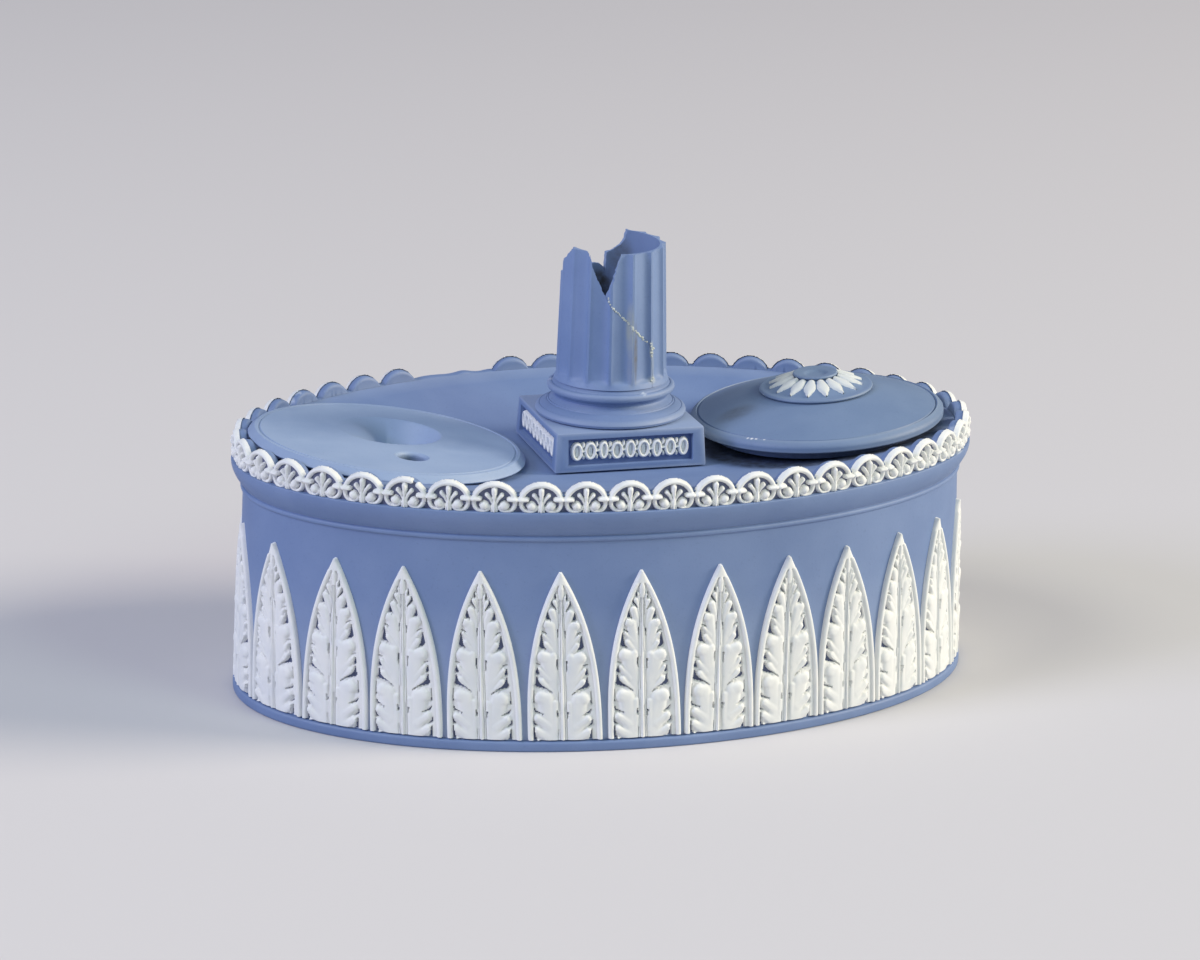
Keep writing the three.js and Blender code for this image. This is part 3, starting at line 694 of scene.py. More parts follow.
def rearRise(share):
    return gallery["rise"] * math.sin(2 * math.pi * share) ** 2 * (share % 1 < 0.5)


def smooth(low, high, value):
    part = max(0.0, min(1.0, (value - low) / (high - low)))
    return part * part * (3 - 2 * part)


def archSpread(share):
    share %= 1
    moved = gallery["spread"] * math.sin(4 * math.pi * (share - 0.25)) * (share < 0.5)
    for far, begin, full, fade, end in gallery["slips"]:
        moved += far * smooth(begin, full, share) * (1 - smooth(fade, end, share))
    return moved / ovalRound


def makeTray(blue):
    guide, ledge, far, edge = oval["guide"], top["ledge"], top["bandOut"], top["bandEdge"]
    inside = gallery["outer"] - gallery["thick"] - 0.05
    seat = drum["bead"] + drum["beadRadius"] + top["seat"]
    outer = wallOut(drum["bead"])
    inner = outer - drum["wall"]
    shares = [i / top["plateRings"] for i in range(top["plateRings"] + 1)]
    plate = [(part * (guide + inside), plateHeight(part)) for part in shares]
    under = [(part * (guide + inner), plateHeight(part) - top["plate"]) for part in top["underside"]]
    rise = ledge - edge - seat
    band = []
    for k in range(1, top["bandSteps"] + 1):
        s = k / top["bandSteps"]
        band.append((guide + far - (far - outer) * s ** top["bandSwell"], ledge - edge - rise * s))
    outline = [*plate, (guide + inside, ledge), (guide + far, ledge, top["ledgeRounding"]),
               (guide + far, ledge - edge), *band, (guide + inner, seat), *under]
    bm = spun(outline, top["steps"])
    for vert in bm.verts:
        part = math.hypot(vert.co.x, vert.co.y) / (guide + inside)
        if part < 1.0001 and vert.co.z > plateHeight(part) - 0.01:
            vert.co.z += rearRise(math.atan2(vert.co.y, vert.co.x) / (2 * math.pi)) * part ** 5
    layOnOval(bm, inner)
    wells = [rod(sizes["pot"] + top["room"], -60, 12, 0, 0, 96) for sizes in (well, cap)]
    for hole, sizes in zip(wells, (well, cap)):
        tilted(hole, sizes)
    finishPiece("top_plate", carved(bm, wells), [blue, blue], ["top_tray"], sharp=40)
    print("top made")


def archHeight(share):
    along = (share - 0.5) * gallery["arches"] - gallery["shift"]
    number = round(along) % gallery["arches"]
    away = (along - round(along)) * ovalRound / gallery["arches"]
    stump = gallery["stump"]
    if gallery["lostFrom"] <= number < gallery["lostFrom"] + gallery["lost"]:
        return stump + gallery["torn"] * noise.noise(Vector((along * 2.3, 0, 7)))
    drop = math.sqrt(max(0.0, gallery["archRadius"] ** 2 - away ** 2))
    return max(stump, gallery["height"] - gallery["archRadius"] + drop)


def makeGallery(blue, deep):
    outer = oval["guide"] + gallery["outer"]
    inner = outer - gallery["thick"]
    low = top["ledge"] + 0.02
    high = top["ledge"] + gallery["height"]
    outside, inside = gallery["rounding"]
    outline = [(inner, low), (outer, low), (outer, high, outside), (inner, high, inside), (inner, low)]
    steps = gallery["arches"] * gallery["columns"]
    bm = spun(outline, steps, 3)
    turn = 2 * math.pi * ((gallery["shift"] * gallery["columns"]) % 1) / steps
    bmesh.ops.rotate(bm, verts=bm.verts, matrix=Matrix.Rotation(turn, 3, "Z"))
    for vert in bm.verts:
        share = math.atan2(vert.co.y, vert.co.x) / (2 * math.pi)
        part = (vert.co.z - low) / (high - low)
        tall = (archHeight(share) - gallery["under"]) / gallery["height"]
        z = low + (high - low) * part * tall + part * rearRise(share)
        slip = Matrix.Rotation(2 * math.pi * archSpread(share), 3, "Z")
        vert.co = slip @ Vector((vert.co.x, vert.co.y, z))
    layOnOval(bm)
    bmesh.ops.recalc_face_normals(bm, faces=bm.faces)
    for face in bm.faces:
        out = face.normal.dot(face.calc_center_median().to_2d().to_3d().normalized())
        # the wall's outward faces take the ground paint: painted shade behind the frieze, partly darker clay
        face.material_index = 1 if out > 0.5 and abs(face.normal.z) < 0.02 else 0
    finishPiece("gallery_arches", bm, [blue, deep], ["gallery_wall"], sharp=40)
    print("gallery made")


# Leaves: one lancet leaf of relief, laid round the drum. Lobes and teeth end at (x, z, radius).
leaf = {
    "count": 26,
    "shift": 0.11,
    "stray": (0, -0.1, -0.4, -0.4, 0, 0.6, 1.2, 1.4, 1.1, 0.8, 0.5, 0.2),
    "lean": (-1.6, -1.6, -0.4, -1.2, -1.5, -1.6, -1.3, -0.4, -0.1, -0.9, -0.9, -1.6, -1.4),
    "foot": 2.35,
    "height": 35.7,
    "gap": 0.5,
    "tip": 0.5,
    "taper": 2.75,
    "border": 1.25,  # width of the raised edge
    "borderHeight": 1.0,
    "across": (0, 0.07, 0.2, 0.38, 0.6, 0.82, 1.02, 1.16, 1.25, 1.4),  # the grid's lines, in from the edge
    "inside": 32,  # cells between the last of these and the midrib
    "rows": 184,
    "drop": 0.35,  # the right-hand lobes sit lower
    "aside": 0.5,  # how far the midrib has slipped at the foot
    "web": 0.5,  # the clay between the lobes
    "sink": -0.2,  # how far the leaf's rim goes into the wall
    "lobes": (  # from the foot up, each a finger of bends (x, z, radius, height)
        ((2.0, -0.5, 1.6, 0.75), (2.9, 4.5, 2.0, 0.85), (3.4, 8.8, 1.95, 1.1), (4.2, 9.25, 1.6, 1.2)),
        ((1.3, 2.0, 0.6, 0.7), (1.45, 8.2, 0.75, 0.95)),
        ((3.0, 3.2, 1.1, 0.8), (5.1, 4.9, 0.9, 1.1)),
        ((3.0, 0.6, 1.2, 0.75), (5.3, 2.2, 0.95, 1.1)),
        ((3.2, -2.0, 1.2, 0.75), (5.3, -0.4, 0.9, 1.1)),
        ((1.1, 8.0, 0.9, 0.55), (2.3, 13.4, 1.5, 0.8), (3.0, 17.5, 1.7, 1.1), (3.85, 18.0, 1.4, 1.2)),
        ((1.1, 12.5, 0.6, 0.6), (1.75, 18.2, 0.85, 1.0)),
        ((1.9, 9.8, 0.8, 0.6), (4.2, 12.8, 0.85, 1.05)),
        ((2.9, 13.0, 0.8, 0.75), (4.55, 15.4, 0.55, 1.0)),
        ((0.9, 16.0, 0.7, 0.55), (1.75, 21.1, 1.15, 0.75), (2.35, 24.6, 1.25, 1.05), (2.9, 24.9, 1.1, 1.15)),
        ((1.4, 18.2, 0.6, 0.6), (3.15, 20.7, 0.7, 1.0)),
        ((2.2, 20.8, 0.6, 0.7), (3.5, 22.6, 0.45, 0.95)),
        ((0.6, 22.0, 0.5, 0.5), (1.2, 25.3, 0.75, 0.75), (1.95, 27.6, 0.85, 1.1)),
        ((0.5, 25.5, 0.4, 0.5), (1.35, 29.6, 0.6, 1.0)),
        ((0.4, 28.0, 0.3, 0.5), (0.9, 30.9, 0.42, 0.95)),
    ),
    "blend": 7,  # power that melts the lobes together
    "floor": 0.03,  # thickness of the sheet left in the holes, painted dark as shade
    "tongue": ((0, 28.5, 0.5, 0.7), (0, 31.0, 0.7, 1.0), (0, 32.3, 0.7, 1.15), (0, 33.8, 0.25, 1.0)),
    "holes": (  # through to the wall, bends of (x, z, radius)
        ((5.9, 2.7, 0.12), (5.75, 0.2, 0.45)),
        ((6.1, 4.5, 0.14), (5.9, 3.6, 0.28), (5.1, 3.2, 0.09)),
        ((5.8, 6.9, 0.15), (5.5, 6.2, 0.28), (4.0, 5.7, 0.09)),
        ((1.1, 6.4, 0.14), (1.05, 5.2, 0.12)),
        ((5.9, 10.6, 0.12), (5.9, 8.2, 0.14)),
        ((5.2, 13.6, 0.14), (5.0, 11.9, 0.6), (3.0, 10.95, 0.13), (2.1, 10.3, 0.1)),
        ((5.1, 15.5, 0.15), (5.0, 14.4, 0.4)),
        ((5.2, 16.5, 0.12), (4.4, 16.2, 0.09)),
        ((1.0, 17.2, 0.13), (0.95, 15.4, 0.13)),
        ((4.1, 22.5, 0.12), (4.05, 20.1, 0.55), (3.2, 19.4, 0.1)),
        ((3.95, 23.3, 0.12), (3.1, 22.9, 0.08)),
        ((0.75, 23.6, 0.1), (0.72, 22.2, 0.1)),
        ((2.78, 27.3, 0.1), (2.75, 26.1, 0.4), (2.2, 25.7, 0.1)),
        ((1.88, 29.8, 0.1), (1.84, 29.1, 0.26), (1.0, 27.9, 0.08)),
        ((1.2, 31.4, 0.08), (1.12, 30.4, 0.2)),
    ),
    "rib": 0.95,
    "ribEnd": 0.45,
    "ribTop": 30.0,
    "ribHeight": 0.95,
    "ribSide": 0.2,  # how much lower it is beside the groove
    "groove": (0.4, 0.14, 0.4),  # place beside the middle, width and depth
}


def leafHalf(z):
    wide = (ovalRound / leaf["count"] - leaf["gap"]) / 2
    return leaf["tip"] / 2 + (wide - leaf["tip"] / 2) * (1 - (z / leaf["height"]) ** leaf["taper"])


def bothSides(strokes):
    both = [list(leaf["tongue"])] if strokes is leaf["lobes"] else []
    for stroke in strokes:
        both.append([(-x, z, *rest) for x, z, *rest in stroke])
        both.append([(x, z - leaf["drop"], *rest) for x, z, *rest in stroke])
    return both


def leafHeight(lobes, holes, x, z, half):
    border = leaf["border"]
    if half < border * 1.3:
        return leaf["borderHeight"] * math.sqrt(max(0.0, 1 - (abs(x) / half) ** 3))
    away = (half - abs(x)) / border
    if away < 1:
        return leaf["borderHeight"] * math.sqrt(max(0.0, 1 - abs(2 * away - 1) ** 3))
    x += leaf["aside"] * (1 - z / leaf["height"])
    if boxedHeight(holes, x, z):
        return leaf["floor"]
    blend = leaf["blend"]
    height = max(leaf["web"], sum(raised ** blend for raised in heightsAt(lobes, x, z, 3)) ** (1 / blend))
    rib = leaf["rib"] + (leaf["ribEnd"] - leaf["rib"]) * min(1.0, z / leaf["ribTop"])
    if abs(x) < rib and z < leaf["ribTop"]:
        place, wide, deep = leaf["groove"]
        lower = leaf["ribSide"] * (abs(x) > place)
        ridge = (leaf["ribHeight"] - lower) * math.sqrt(max(0.0, 1 - (abs(x) / rib) ** 6))
        return max(height * 0.6, ridge) - deep * math.exp(-((abs(x) - place * rib / leaf["rib"]) / wide) ** 2)
    return height


def leafShape():
    places = list(leaf["across"])
    inner, cells = places[-1], leaf["inside"]
    last = 2 * (len(places) + cells - 1)
    bm = bmesh.new()
    bmesh.ops.create_grid(bm, x_segments=last, y_segments=leaf["rows"], size=1)
    lobes = bounded(bothSides(leaf["lobes"]))
    holes = bounded(bothSides([[(*bend, 1) for bend in hole] for hole in leaf["holes"]]))
    for vert in bm.verts:
        column = round((vert.co.x + 1) / 2 * last)
        z = leaf["height"] * (vert.co.y + 1) / 2
        half = leafHalf(z)
        fit = min(1.0, half / (inner + 0.3))
        fromEdge = min(column, last - column)
        if fromEdge < len(places):
            x = half - places[fromEdge] * fit
        else:
            x = (half - inner * fit) * (1 - (fromEdge - len(places) + 1) / cells)
        if column < last / 2:
            x = -x
        end = z < 0.01 or z > leaf["height"] - 0.01
        height = 0 if end else leafHeight(lobes, holes, x, z, half)
        vert.co = (x, height or leaf["sink"], z)
    for face in bm.faces:
        # the sheet in the holes takes the ground paint: painted shade
        face.material_index = 1 if all(0 < vert.co.y < leaf["floor"] * 1.1 for vert in face.verts) else 0
    bmesh.ops.recalc_face_normals(bm, faces=bm.faces)
    return bm


def makeLeaves(white, deep):
    shape = leafShape()
    for number in range(leaf["count"]):
        stray = leaf["stray"][number] if number < len(leaf["stray"]) else 0
        lean = leaf["lean"][number] if number < len(leaf["lean"]) else 0
        middle = (number + leaf["shift"]) / leaf["count"] + 0.5

        def place(co):
            along = co.x + stray + lean * co.z / leaf["height"]
            z = leaf["foot"] + co.z
            return ovalPoint(middle + along / ovalRound, wallOut(z) + co.y, z)
        digits = f"{number + 1:02d}"
        finishPiece(f"sprig_{digits}", laidOut(shape, place), [white, deep], [f"leaf_{digits}"],
                    sharp=60)
    shape.free()
    print("leaves made")


# Frieze: an arch with scrolled feet round a palmette, tied to its neighbours
frieze = {
    "cell": 0.16,
    "ring": 3.95,
    "flat": 0.91,  # the ring is a little wider than it is high
    "centre": 1.9,
    "stroke": 0.52,
    "ringHeight": 0.75,
    "scroll": (1.95, 1.3),
    "ball": 0.98,
    "link": 2.6,  # height of the links
    "leaves": (  # of the palmette, bends of (x, z, radius, height)
        ((0.2, 1.4, 0.3, 0.7), (0.7, 2.6, 0.36, 0.9), (1.42, 3.45, 0.46, 1.05)),
        ((0.5, 0.0, 0.28, 0.75), (0.3, 1.6, 0.25, 0.8)),
    ),
    "stem": ((0, 0.0, 0.34, 0.95), (0, 2.4, 0.36, 1.0), (0, 4.45, 0.62, 1.2)),
    "ground": -0.5,
    "broken": 5,  # the arch with a bit gone
}


def friezeStrokes(broken):
    ring, centre, wide, tall = frieze["ring"], frieze["centre"], frieze["stroke"], frieze["ringHeight"]
    (sx, sz), ball, link = frieze["scroll"], frieze["ball"], frieze["link"]
    flat = frieze["flat"]
    edge = ovalRound / gallery["arches"] / 2
    right = arc((0, centre), 90, 0, ring, ring, wide, tall, flat)
    if broken:
        strokes = [mirrored(right), arc((0, centre), 90, 72, ring, ring, wide, tall, flat, 5),
                   arc((0.2, centre - 0.15), 52, 0, ring, ring, wide, tall * 0.95, flat, 8)]
    else:
        strokes = [right, mirrored(right)]
    for turn in (list, mirrored):
        strokes.append(turn(arc((sx, sz + 0.2), 5, -150, ring - sx, ball + 0.15, wide * 0.9, tall * 0.95)))
        strokes.append(turn([(sx, sz, ball, 1.25), (sx - 0.05, sz - 0.05, ball, 1.25)]))
        strokes += [turn(stroke) for stroke in frieze["leaves"]]
        strokes.append(turn([(edge - 1.7, link, 0.5, 1.3), (edge - 0.5, link, 0.6, 1.5),
                             (edge + 0.1, link, 0.4, 1.15)]))
    strokes.append(frieze["stem"])
    return strokes


def makeFrieze(white):
    arches = gallery["arches"]
    half = ovalRound / arches / 2
    whole, chipped = (reliefPatch(-half, half, gallery["height"], frieze["cell"], friezeStrokes(broken),
                                  frieze["ground"]) for broken in (False, True))
    parts = []
    first = gallery["lostFrom"] + gallery["lost"]
    for number in range(first, first + arches - gallery["lost"]):
        middle = (number + gallery["shift"]) / arches + 0.5
        shape = chipped if number % arches == frieze["broken"] else whole

        def place(co):
            share = middle + co.x / ovalRound
            rise = rearRise(share) * co.z / gallery["height"]
            z = top["ledge"] + 0.05 + co.z + rise
            return ovalPoint(share + archSpread(share), gallery["outer"] + co.y, z)
        parts.append(laidOut(shape, place))
    whole.free()
    chipped.free()
    finishPiece("frieze_arches", gathered(parts), [white], ["gallery_frieze"], sharp=60)
    print("frieze made")


# Plinth with sunk panels, and the chain of ovals in each
plinth = {
    "x": 0.6,
    "half": 16.55,
    "draw": 0.5,
    "bottom": 49.65,
    "top": 58.05,
    "border": 1.95,  # above and below the floor of a panel
    "margin": 3.1,  # at its ends
    "frame": 0.2,
    "sunk": 1.0,
    "edge": 0.3,  # bevel
}


def makePlinth(blue, deep):
    half, frame, edge = plinth["half"], plinth["frame"], plinth["edge"]
    tall = plinth["top"] - plinth["bottom"]
    wanted = half - plinth["margin"] + frame
    bm = bmesh.new()
    bmesh.ops.create_cube(bm, size=2)
    for vert in bm.verts:
        wide = half if vert.co.z < 0 else half - plinth["draw"]
        vert.co = (vert.co.x * wide, vert.co.y * wide, plinth["bottom"] + tall * (vert.co.z + 1) / 2)
    bmesh.ops.bevel(bm, geom=list(bm.edges), offset=edge, affect="EDGES", segments=2, profile=0.5,
                    material=-1)
    for face in [face for face in bm.faces if abs(face.normal.z) < 0.5 and face.calc_area() > 100]:
        bmesh.ops.inset_region(bm, faces=[face], thickness=plinth["border"] - frame - edge)
        along = Vector((0, 0, 1)).cross(face.normal).normalized()
        for vert in face.verts:
            now = vert.co.dot(along)
            vert.co += along * (math.copysign(wanted, now) - now)
        bmesh.ops.inset_region(bm, faces=[face], thickness=frame, depth=-plinth["sunk"])
        # the sunk floor takes the panel paint: painted shade
        face.material_index = 1
    bmesh.ops.translate(bm, verts=bm.verts, vec=(plinth["x"], 0, 0))
    finishPiece("plinth_block", bm, [blue, deep], ["plinth"], sharp=25)
    print("plinth made")


chain = {
    "links": 9,
    "cell": 0.15,
    "tall": 4.4,
    "ends": 0.7,  # left free at both ends together
    "ring": (0.93, 1.6),
    "stroke": 0.38,
    "ringHeight": 0.85,
    "widths": (1.0, 1.08, 0.72, 1.1, 0.92, 1.12, 0.85, 1.02, 0.88),
    "slips": (0.0, 0.1, 0.15, -0.05, 0.05, 0.0, -0.1, 0.05, 0.0),
    "fill": (0.8, 0.5, 0.4),  # the low ground in a ring: half its length, radius and height
    "tie": (0.35, 0.34, 0.75),  # between two rings: the same three
    "bud": ((-0.3, 0.7, 0.2, 0.6), (0, 1.15, 0.3, 0.7), (0, 1.6, 0.26, 0.6)),  # above and below each tie
    "ground": -0.05,
}


def makeChains(white):
    long = 2 * (plinth["half"] - plinth["margin"])
    pitch = (long - chain["ends"]) / chain["links"]
    middle = chain["tall"] / 2
    wide, tall = chain["ring"]
    fill, within, low = chain["fill"]
    strokes = []
    for i in range(chain["links"]):
        cx = (i - (chain["links"] - 1) / 2) * pitch
        cz = middle + chain["slips"][i]
        reach = wide * chain["widths"][i]
        turns = [2 * math.pi * k / 20 for k in range(21)]
        strokes.append([(cx + reach * math.cos(a), cz + tall * math.sin(a), chain["stroke"],
                         chain["ringHeight"]) for a in turns])
        strokes.append([(cx, cz - fill, within, low), (cx, cz + fill, within, low)])
        if i:  # tied to the link before
            edge, (out, *tie) = cx - pitch / 2, chain["tie"]
            strokes.append([(edge - out, cz, *tie), (edge + out, cz, *tie)])
            for rise in (-1, 1):
                strokes.append([(edge + x, cz + rise * z, *rest) for x, z, *rest in chain["bud"]])
    shape = reliefPatch(-long / 2, long / 2, chain["tall"], chain["cell"], strokes, chain["ground"])
    face = plinth["half"] - plinth["draw"] / 2 - plinth["sunk"]
    foot = (plinth["bottom"] + plinth["top"]) / 2 - middle
    centre = Vector((plinth["x"], 0, 0))
    for name, turn in (("front", 0), ("right", 90), ("back", 180), ("left", 270)):
        spin = Matrix.Rotation(math.radians(turn), 3, "Z")
        bm = laidOut(shape, lambda co: spin @ Vector((co.x, -face - co.y, foot + co.z)) + centre)
        finishPiece(f"oval_chain_{name}", bm, [white], [f"plinth_chain_{name}"], sharp=60)
    shape.free()
    print("chains made")


# Column: base, fluted shaft with its break, and the piece glued back
column = {
    "x": 0.6,
    "base": 58.1,
    "baseProfile": (  # large torus, hollow, small torus
        (15.4, 0, 0.2), (15.95, 0.25), (16.15, 0.75), (15.95, 1.3), (15.35, 1.75), (15.15, 1.72),
        (14.95, 1.9), (14.2, 2.45), (13.75, 2.65), (13.6, 2.6), (13.4, 2.9), (13.2, 2.88), (13.0, 3.15),
        (12.45, 3.45), (12.15, 4.0), (12.3, 4.55), (12.7, 4.8), (12.85, 4.82), (12.95, 5.1), (13.4, 5.25),
        (13.65, 5.8), (13.55, 6.3), (13.2, 6.62), (12.75, 6.7), (12.6, 6.6), (12.45, 6.95), (12.2, 7.1),
        (11.95, 7.45),
    ),
    "foot": 65.65,
    "top": 95.6,
    "footRadius": 11.9,
    "taper": 0.95,
    "bore": 9.1,
    "mouth": 9.7,
    "flutes": 15,
    "turn": -83.5,
    "depth": 0.85,
    "bow": 0.5,  # power of a flute's section
    "lean": 0.25,  # and how much deeper it is on one side
    "fillet": 0.16,  # share of a flute's room that stays flat
    "perFlute": 20,
    "root": ((0, 0), (0.9, 0), (1.15, 0.25), (1.5, 0.75), (2.0, 1)),  # heights, and the depth there
    "flare": (0.35, 0.9),  # how far the foot spreads, up to this height
    "dip": 1.1,  # the rim slopes down to the front
}


def makeColumnBase(blue):
    bore, profile = column["bore"], column["baseProfile"]
    bm = spun([(bore, 0), *profile, (bore, profile[-1][1]), (bore, 0)], 128, 2)
    bmesh.ops.translate(bm, verts=bm.verts, vec=(column["x"], 0, column["base"]))
    finishPiece("column_foot", bm, [blue], ["column_base"], sharp=40)


def fluteDepth(angle):
    across = (math.degrees(angle) - column["turn"]) / (360 / column["flutes"]) % 1
    across = max(0.0, min(1.0, (across - column["fillet"] / 2) / (1 - column["fillet"])))
    section = math.sin(math.pi * across) ** column["bow"]
    return column["depth"] * section * (1 - column["lean"] * math.cos(math.pi * across))


def flutedTube():
    columns = column["flutes"] * column["perFlute"]
    tall = column["top"] - column["foot"]
    levels = [*column["root"], *[(k, 1) for k in range(4, 29, 2)]]
    spread, until = column["flare"]
    bm = bmesh.new()
    rows = []
    for i in range(columns):
        angle = math.radians(column["turn"]) + 2 * math.pi * i / columns
        rim = tall - column["dip"] * (1 - math.sin(angle)) / 2
        hollow = fluteDepth(angle)
        profile = [(column["bore"], 0)]
        for level, deep in [*levels, (rim, 1)]:
            flare = spread * max(0.0, 1 - level / until)
            out = column["footRadius"] - column["taper"] * level / tall - hollow * deep + flare
            profile.append((out, level))
        profile.append((column["mouth"], rim))
        rows.append([bm.verts.new((r * math.cos(angle), r * math.sin(angle), column["foot"] + z))
                     for r, z in profile])
    for i, row in enumerate(rows):
        other = rows[(i + 1) % columns]
        for k in range(len(row)):
            j = (k + 1) % len(row)
            bm.faces.new((row[k], other[k], other[j], row[j]))
    return bm


# The broken edge: places across, and heights
breaks = {
    "rough": 0.22,
    "crackRough": 0.12,
    "grain": 1.7,
    "step": 0.35,
    "above": 98,  # lines that reach higher stay straight
    "notch": ((-7.9, 99.0), (-7.7, 94.9), (-7.4, 93.6), (-7.0, 91.8), (-6.1, 89.4), (-5.1, 86.9),
              (-4.3, 85.5), (-3.65, 87.3), (-2.95, 89.1), (-2.2, 91.9), (-1.2, 95.0), (-0.9, 99.0)),
    "side": ((-2.9, 99), (-2.7, 94.6), (-2.3, 94.3), (-1.3, 93.1), (0.0, 91.2), (1.1, 89.8), (2.4, 88.3),
             (14, 88.3), (14, 99)),  # seen from the left: places along Y
    "sideFrom": 7.0,
    "undercut": (0.9, 10.0),  # the notch is this much lower inside this radius
    "behind": ((-14, 99), (-14, 88.3), (-10, 88.3), (-8, 88.0), (-5, 87.4), (-2.2, 88.3), (-1.0, 88.3),
               (-0.3, 88.1), (0.4, 87.6), (0.9, 86.4), (1.1, 90.4), (2.6, 91.3), (4.1, 92.3), (4.8, 93.6),
               (5.2, 95.0), (5.3, 99)),
    "crack": ((-4.3, 85.5), (-3.95, 84.6), (-3.55, 83.6), (-2.6, 82.4), (-0.8, 81.0), (0.3, 80.0),
              (1.6, 78.4), (3.3, 77.0), (5.2, 75.2), (5.7, 73.6), (5.8, 70.6), (6.1, 68.6), (6.1, 64.0)),
    "crackGap": 0.03,
    "reach": 20,  # past the shaft on every side
}


def ragged(points, seed, rough=breaks["rough"]):
    outline = [points[0]]
    grain = breaks["grain"]
    for (ax, az), (bx, bz) in zip(points, points[1:]):
        free = max(az, bz) < breaks["above"]
        steps = max(1, round(math.hypot(bx - ax, bz - az) / breaks["step"])) if free else 1
        for k in range(1, steps + 1):
            x, z = ax + (bx - ax) * k / steps, az + (bz - az) * k / steps
            if k < steps or (bx, bz) != points[-1]:
                shake = noise.noise_vector(Vector((x * grain, z * grain, seed)))
                x, z = x + rough * shake.x, z + rough * shake.y
            outline.append((x, z))
    return outline


def lostParts():
    reach = breaks["reach"]
    left = upright(ragged(breaks["side"], 2), breaks["sideFrom"], reach)
    bmesh.ops.rotate(left, verts=left.verts, matrix=Matrix.Rotation(math.radians(90), 3, "Z"))
    notch = ragged(breaks["notch"], 1)
    drop, within = breaks["undercut"]
    lower = upright([(x, z - drop) for x, z in notch], -reach, 0)
    inner = carved(lower, [rod(within, 50, 110, 0, 0, 96)], "INTERSECT")
    return [upright(notch, -reach, 0), inner, left, upright(ragged(breaks["behind"], 3), 0, reach)]


def crackBlock(shift):  # all that lies to the right of the crack
    reach = breaks["reach"]
    line = [(x + shift, z) for x, z in ragged(breaks["crack"], 4, breaks["crackRough"])]
    return upright([(line[0][0], 99), *line, (reach, 64), (reach, 99)], -reach, reach)


def makeShaft(blue, broken):
    gap = breaks["crackGap"]
    tube = carved(flutedTube(), lostParts(), "DIFFERENCE", 1)
    spare = tube.copy()
    main = carved(tube, [crackBlock(-gap)], "DIFFERENCE", 1)
    piece = carved(spare, [crackBlock(gap)], "INTERSECT", 1)
    for name, bm, node in (("shaft_main", main, "column_shaft"), ("shaft_mended", piece, "column_fragment")):
        bmesh.ops.translate(bm, verts=bm.verts, vec=(column["x"], 0, 0))
        finishPiece(name, bm, [blue, broken], [node], sharp=30)
    print("shaft made")


# Old glue: grains squeezed out along the crack
glue = {
    "colour": (0.60, 0.64, 0.58),
    "shade": (0.17, 0.18, 0.16),
    "down": 74,  # the line of grains ends here
    "every": 0.45,
    "grain": 0.165,
    "sizes": (1.1, 1.3),  # share of it, and how much that varies
    "stretch": (1.3, 0.7, 1.2),
    "shake": 0.3,
    "mottled": 900,
    "stops": ((0.3, 0.75), (0.7, 1.1)),
    "rough": 0.4,
    "shine": 0.5,
    "patches": ((5.2, 75.3), (5.5, 74.9), (5.7, 74.4), (6.0, 74.5), (6.0, 73.8), (6.3, 74.0), (5.8, 73.2),
                (6.2, 73.0), (5.9, 72.4), (6.1, 67.6), (6.4, 67.2), (5.8, 67.1)),
}


def makeGlue():
    spots = []
    line = [point for point in breaks["crack"] if point[1] > glue["down"]]
    for (ax, az), (bx, bz) in zip(line, line[1:]):
        steps = round(math.hypot(bx - ax, bz - az) / glue["every"])
        spots += [(ax + (bx - ax) * k / steps, az + (bz - az) * k / steps) for k in range(steps)]
    grains = []
    usual, varied = glue["sizes"]
    for x, z in [*spots, *glue["patches"]]:
        shake = noise.noise_vector(Vector((x * 5, 3, z * 5)))
        x, z = x + glue["shake"] * shake.x, z + glue["shake"] * shake.z
        angle = math.atan2(-math.sqrt(column["footRadius"] ** 2 - x * x), x)
        level = (z - column["foot"]) / (column["top"] - column["foot"])
        radius = column["footRadius"] - column["taper"] * level - fluteDepth(angle) + 0.02
        place = (radius * math.cos(angle) + column["x"], radius * math.sin(angle), z)
        bm = bmesh.new()
        bmesh.ops.create_icosphere(bm, subdivisions=2, radius=glue["grain"] * (usual + varied * shake.y))
        bmesh.ops.scale(bm, vec=glue["stretch"], verts=bm.verts)
        bmesh.ops.translate(bm, vec=place, verts=bm.verts)
        grains.append(bm)
    paint = Paint("old_glue")
    shade = paint.ramp(paint.grain(glue["mottled"]), *glue["stops"])
    paint.surface(paint.mix(shade, glue["shade"], glue["colour"]), glue["rough"], glue["shine"])
    finishPiece("glue_grains", gathered(grains), [paint.material], [], sharp=60)
    print("glue made")


# Left well: a broad cover with a funnel and a quill hole, and its pot below
well = {
    "at": (-48.05, 0, 54.75),
    "tilt": 6.307,
    "radius": 29.4,
    "thick": 3.0,
    "rim": 1.8,
    "groove": 27.2,
    "grooveWide": 0.3,
    "grooveDeep": 0.28,
    "hollow": (2.0, 6.0),
    "mouth": 10.7,
    "throat": 3.1,
    "throatSlip": 2.1,  # the throat lies this far to the right of the hollow's middle
    "deep": 6.6,
    "steep": 1.25,  # power of the slope into the hollow
    "softAt": 172,  # degrees, where that slope is long and gentle
    "softWide": 0.8,
    "softMore": 0.6,  # how much further out it begins there
    "softSlope": (5, 0.1),  # its power, and the share that falls evenly
    "cup": ((0, -8.0), (5.2, -8.0), (8.4, -5.2), (11.2, -2.6), (11.2, -1.5), (0, -1.5)),  # below the hollow
    "quill": (2.1, -13.8),
    "quillRadius": 3.1,
    "quillProfile": (  # out from that radius
        (1.6, 2), (0.75, 0.1), (0.4, -0.12), (0.12, -0.35), (0, -0.75), (0.1, -1.2), (1.3, -5),
    ),
    "pot": 21.0,
    "potTop": -3.1,
    "potDepth": 43.35,
    "potWall": 3,
}


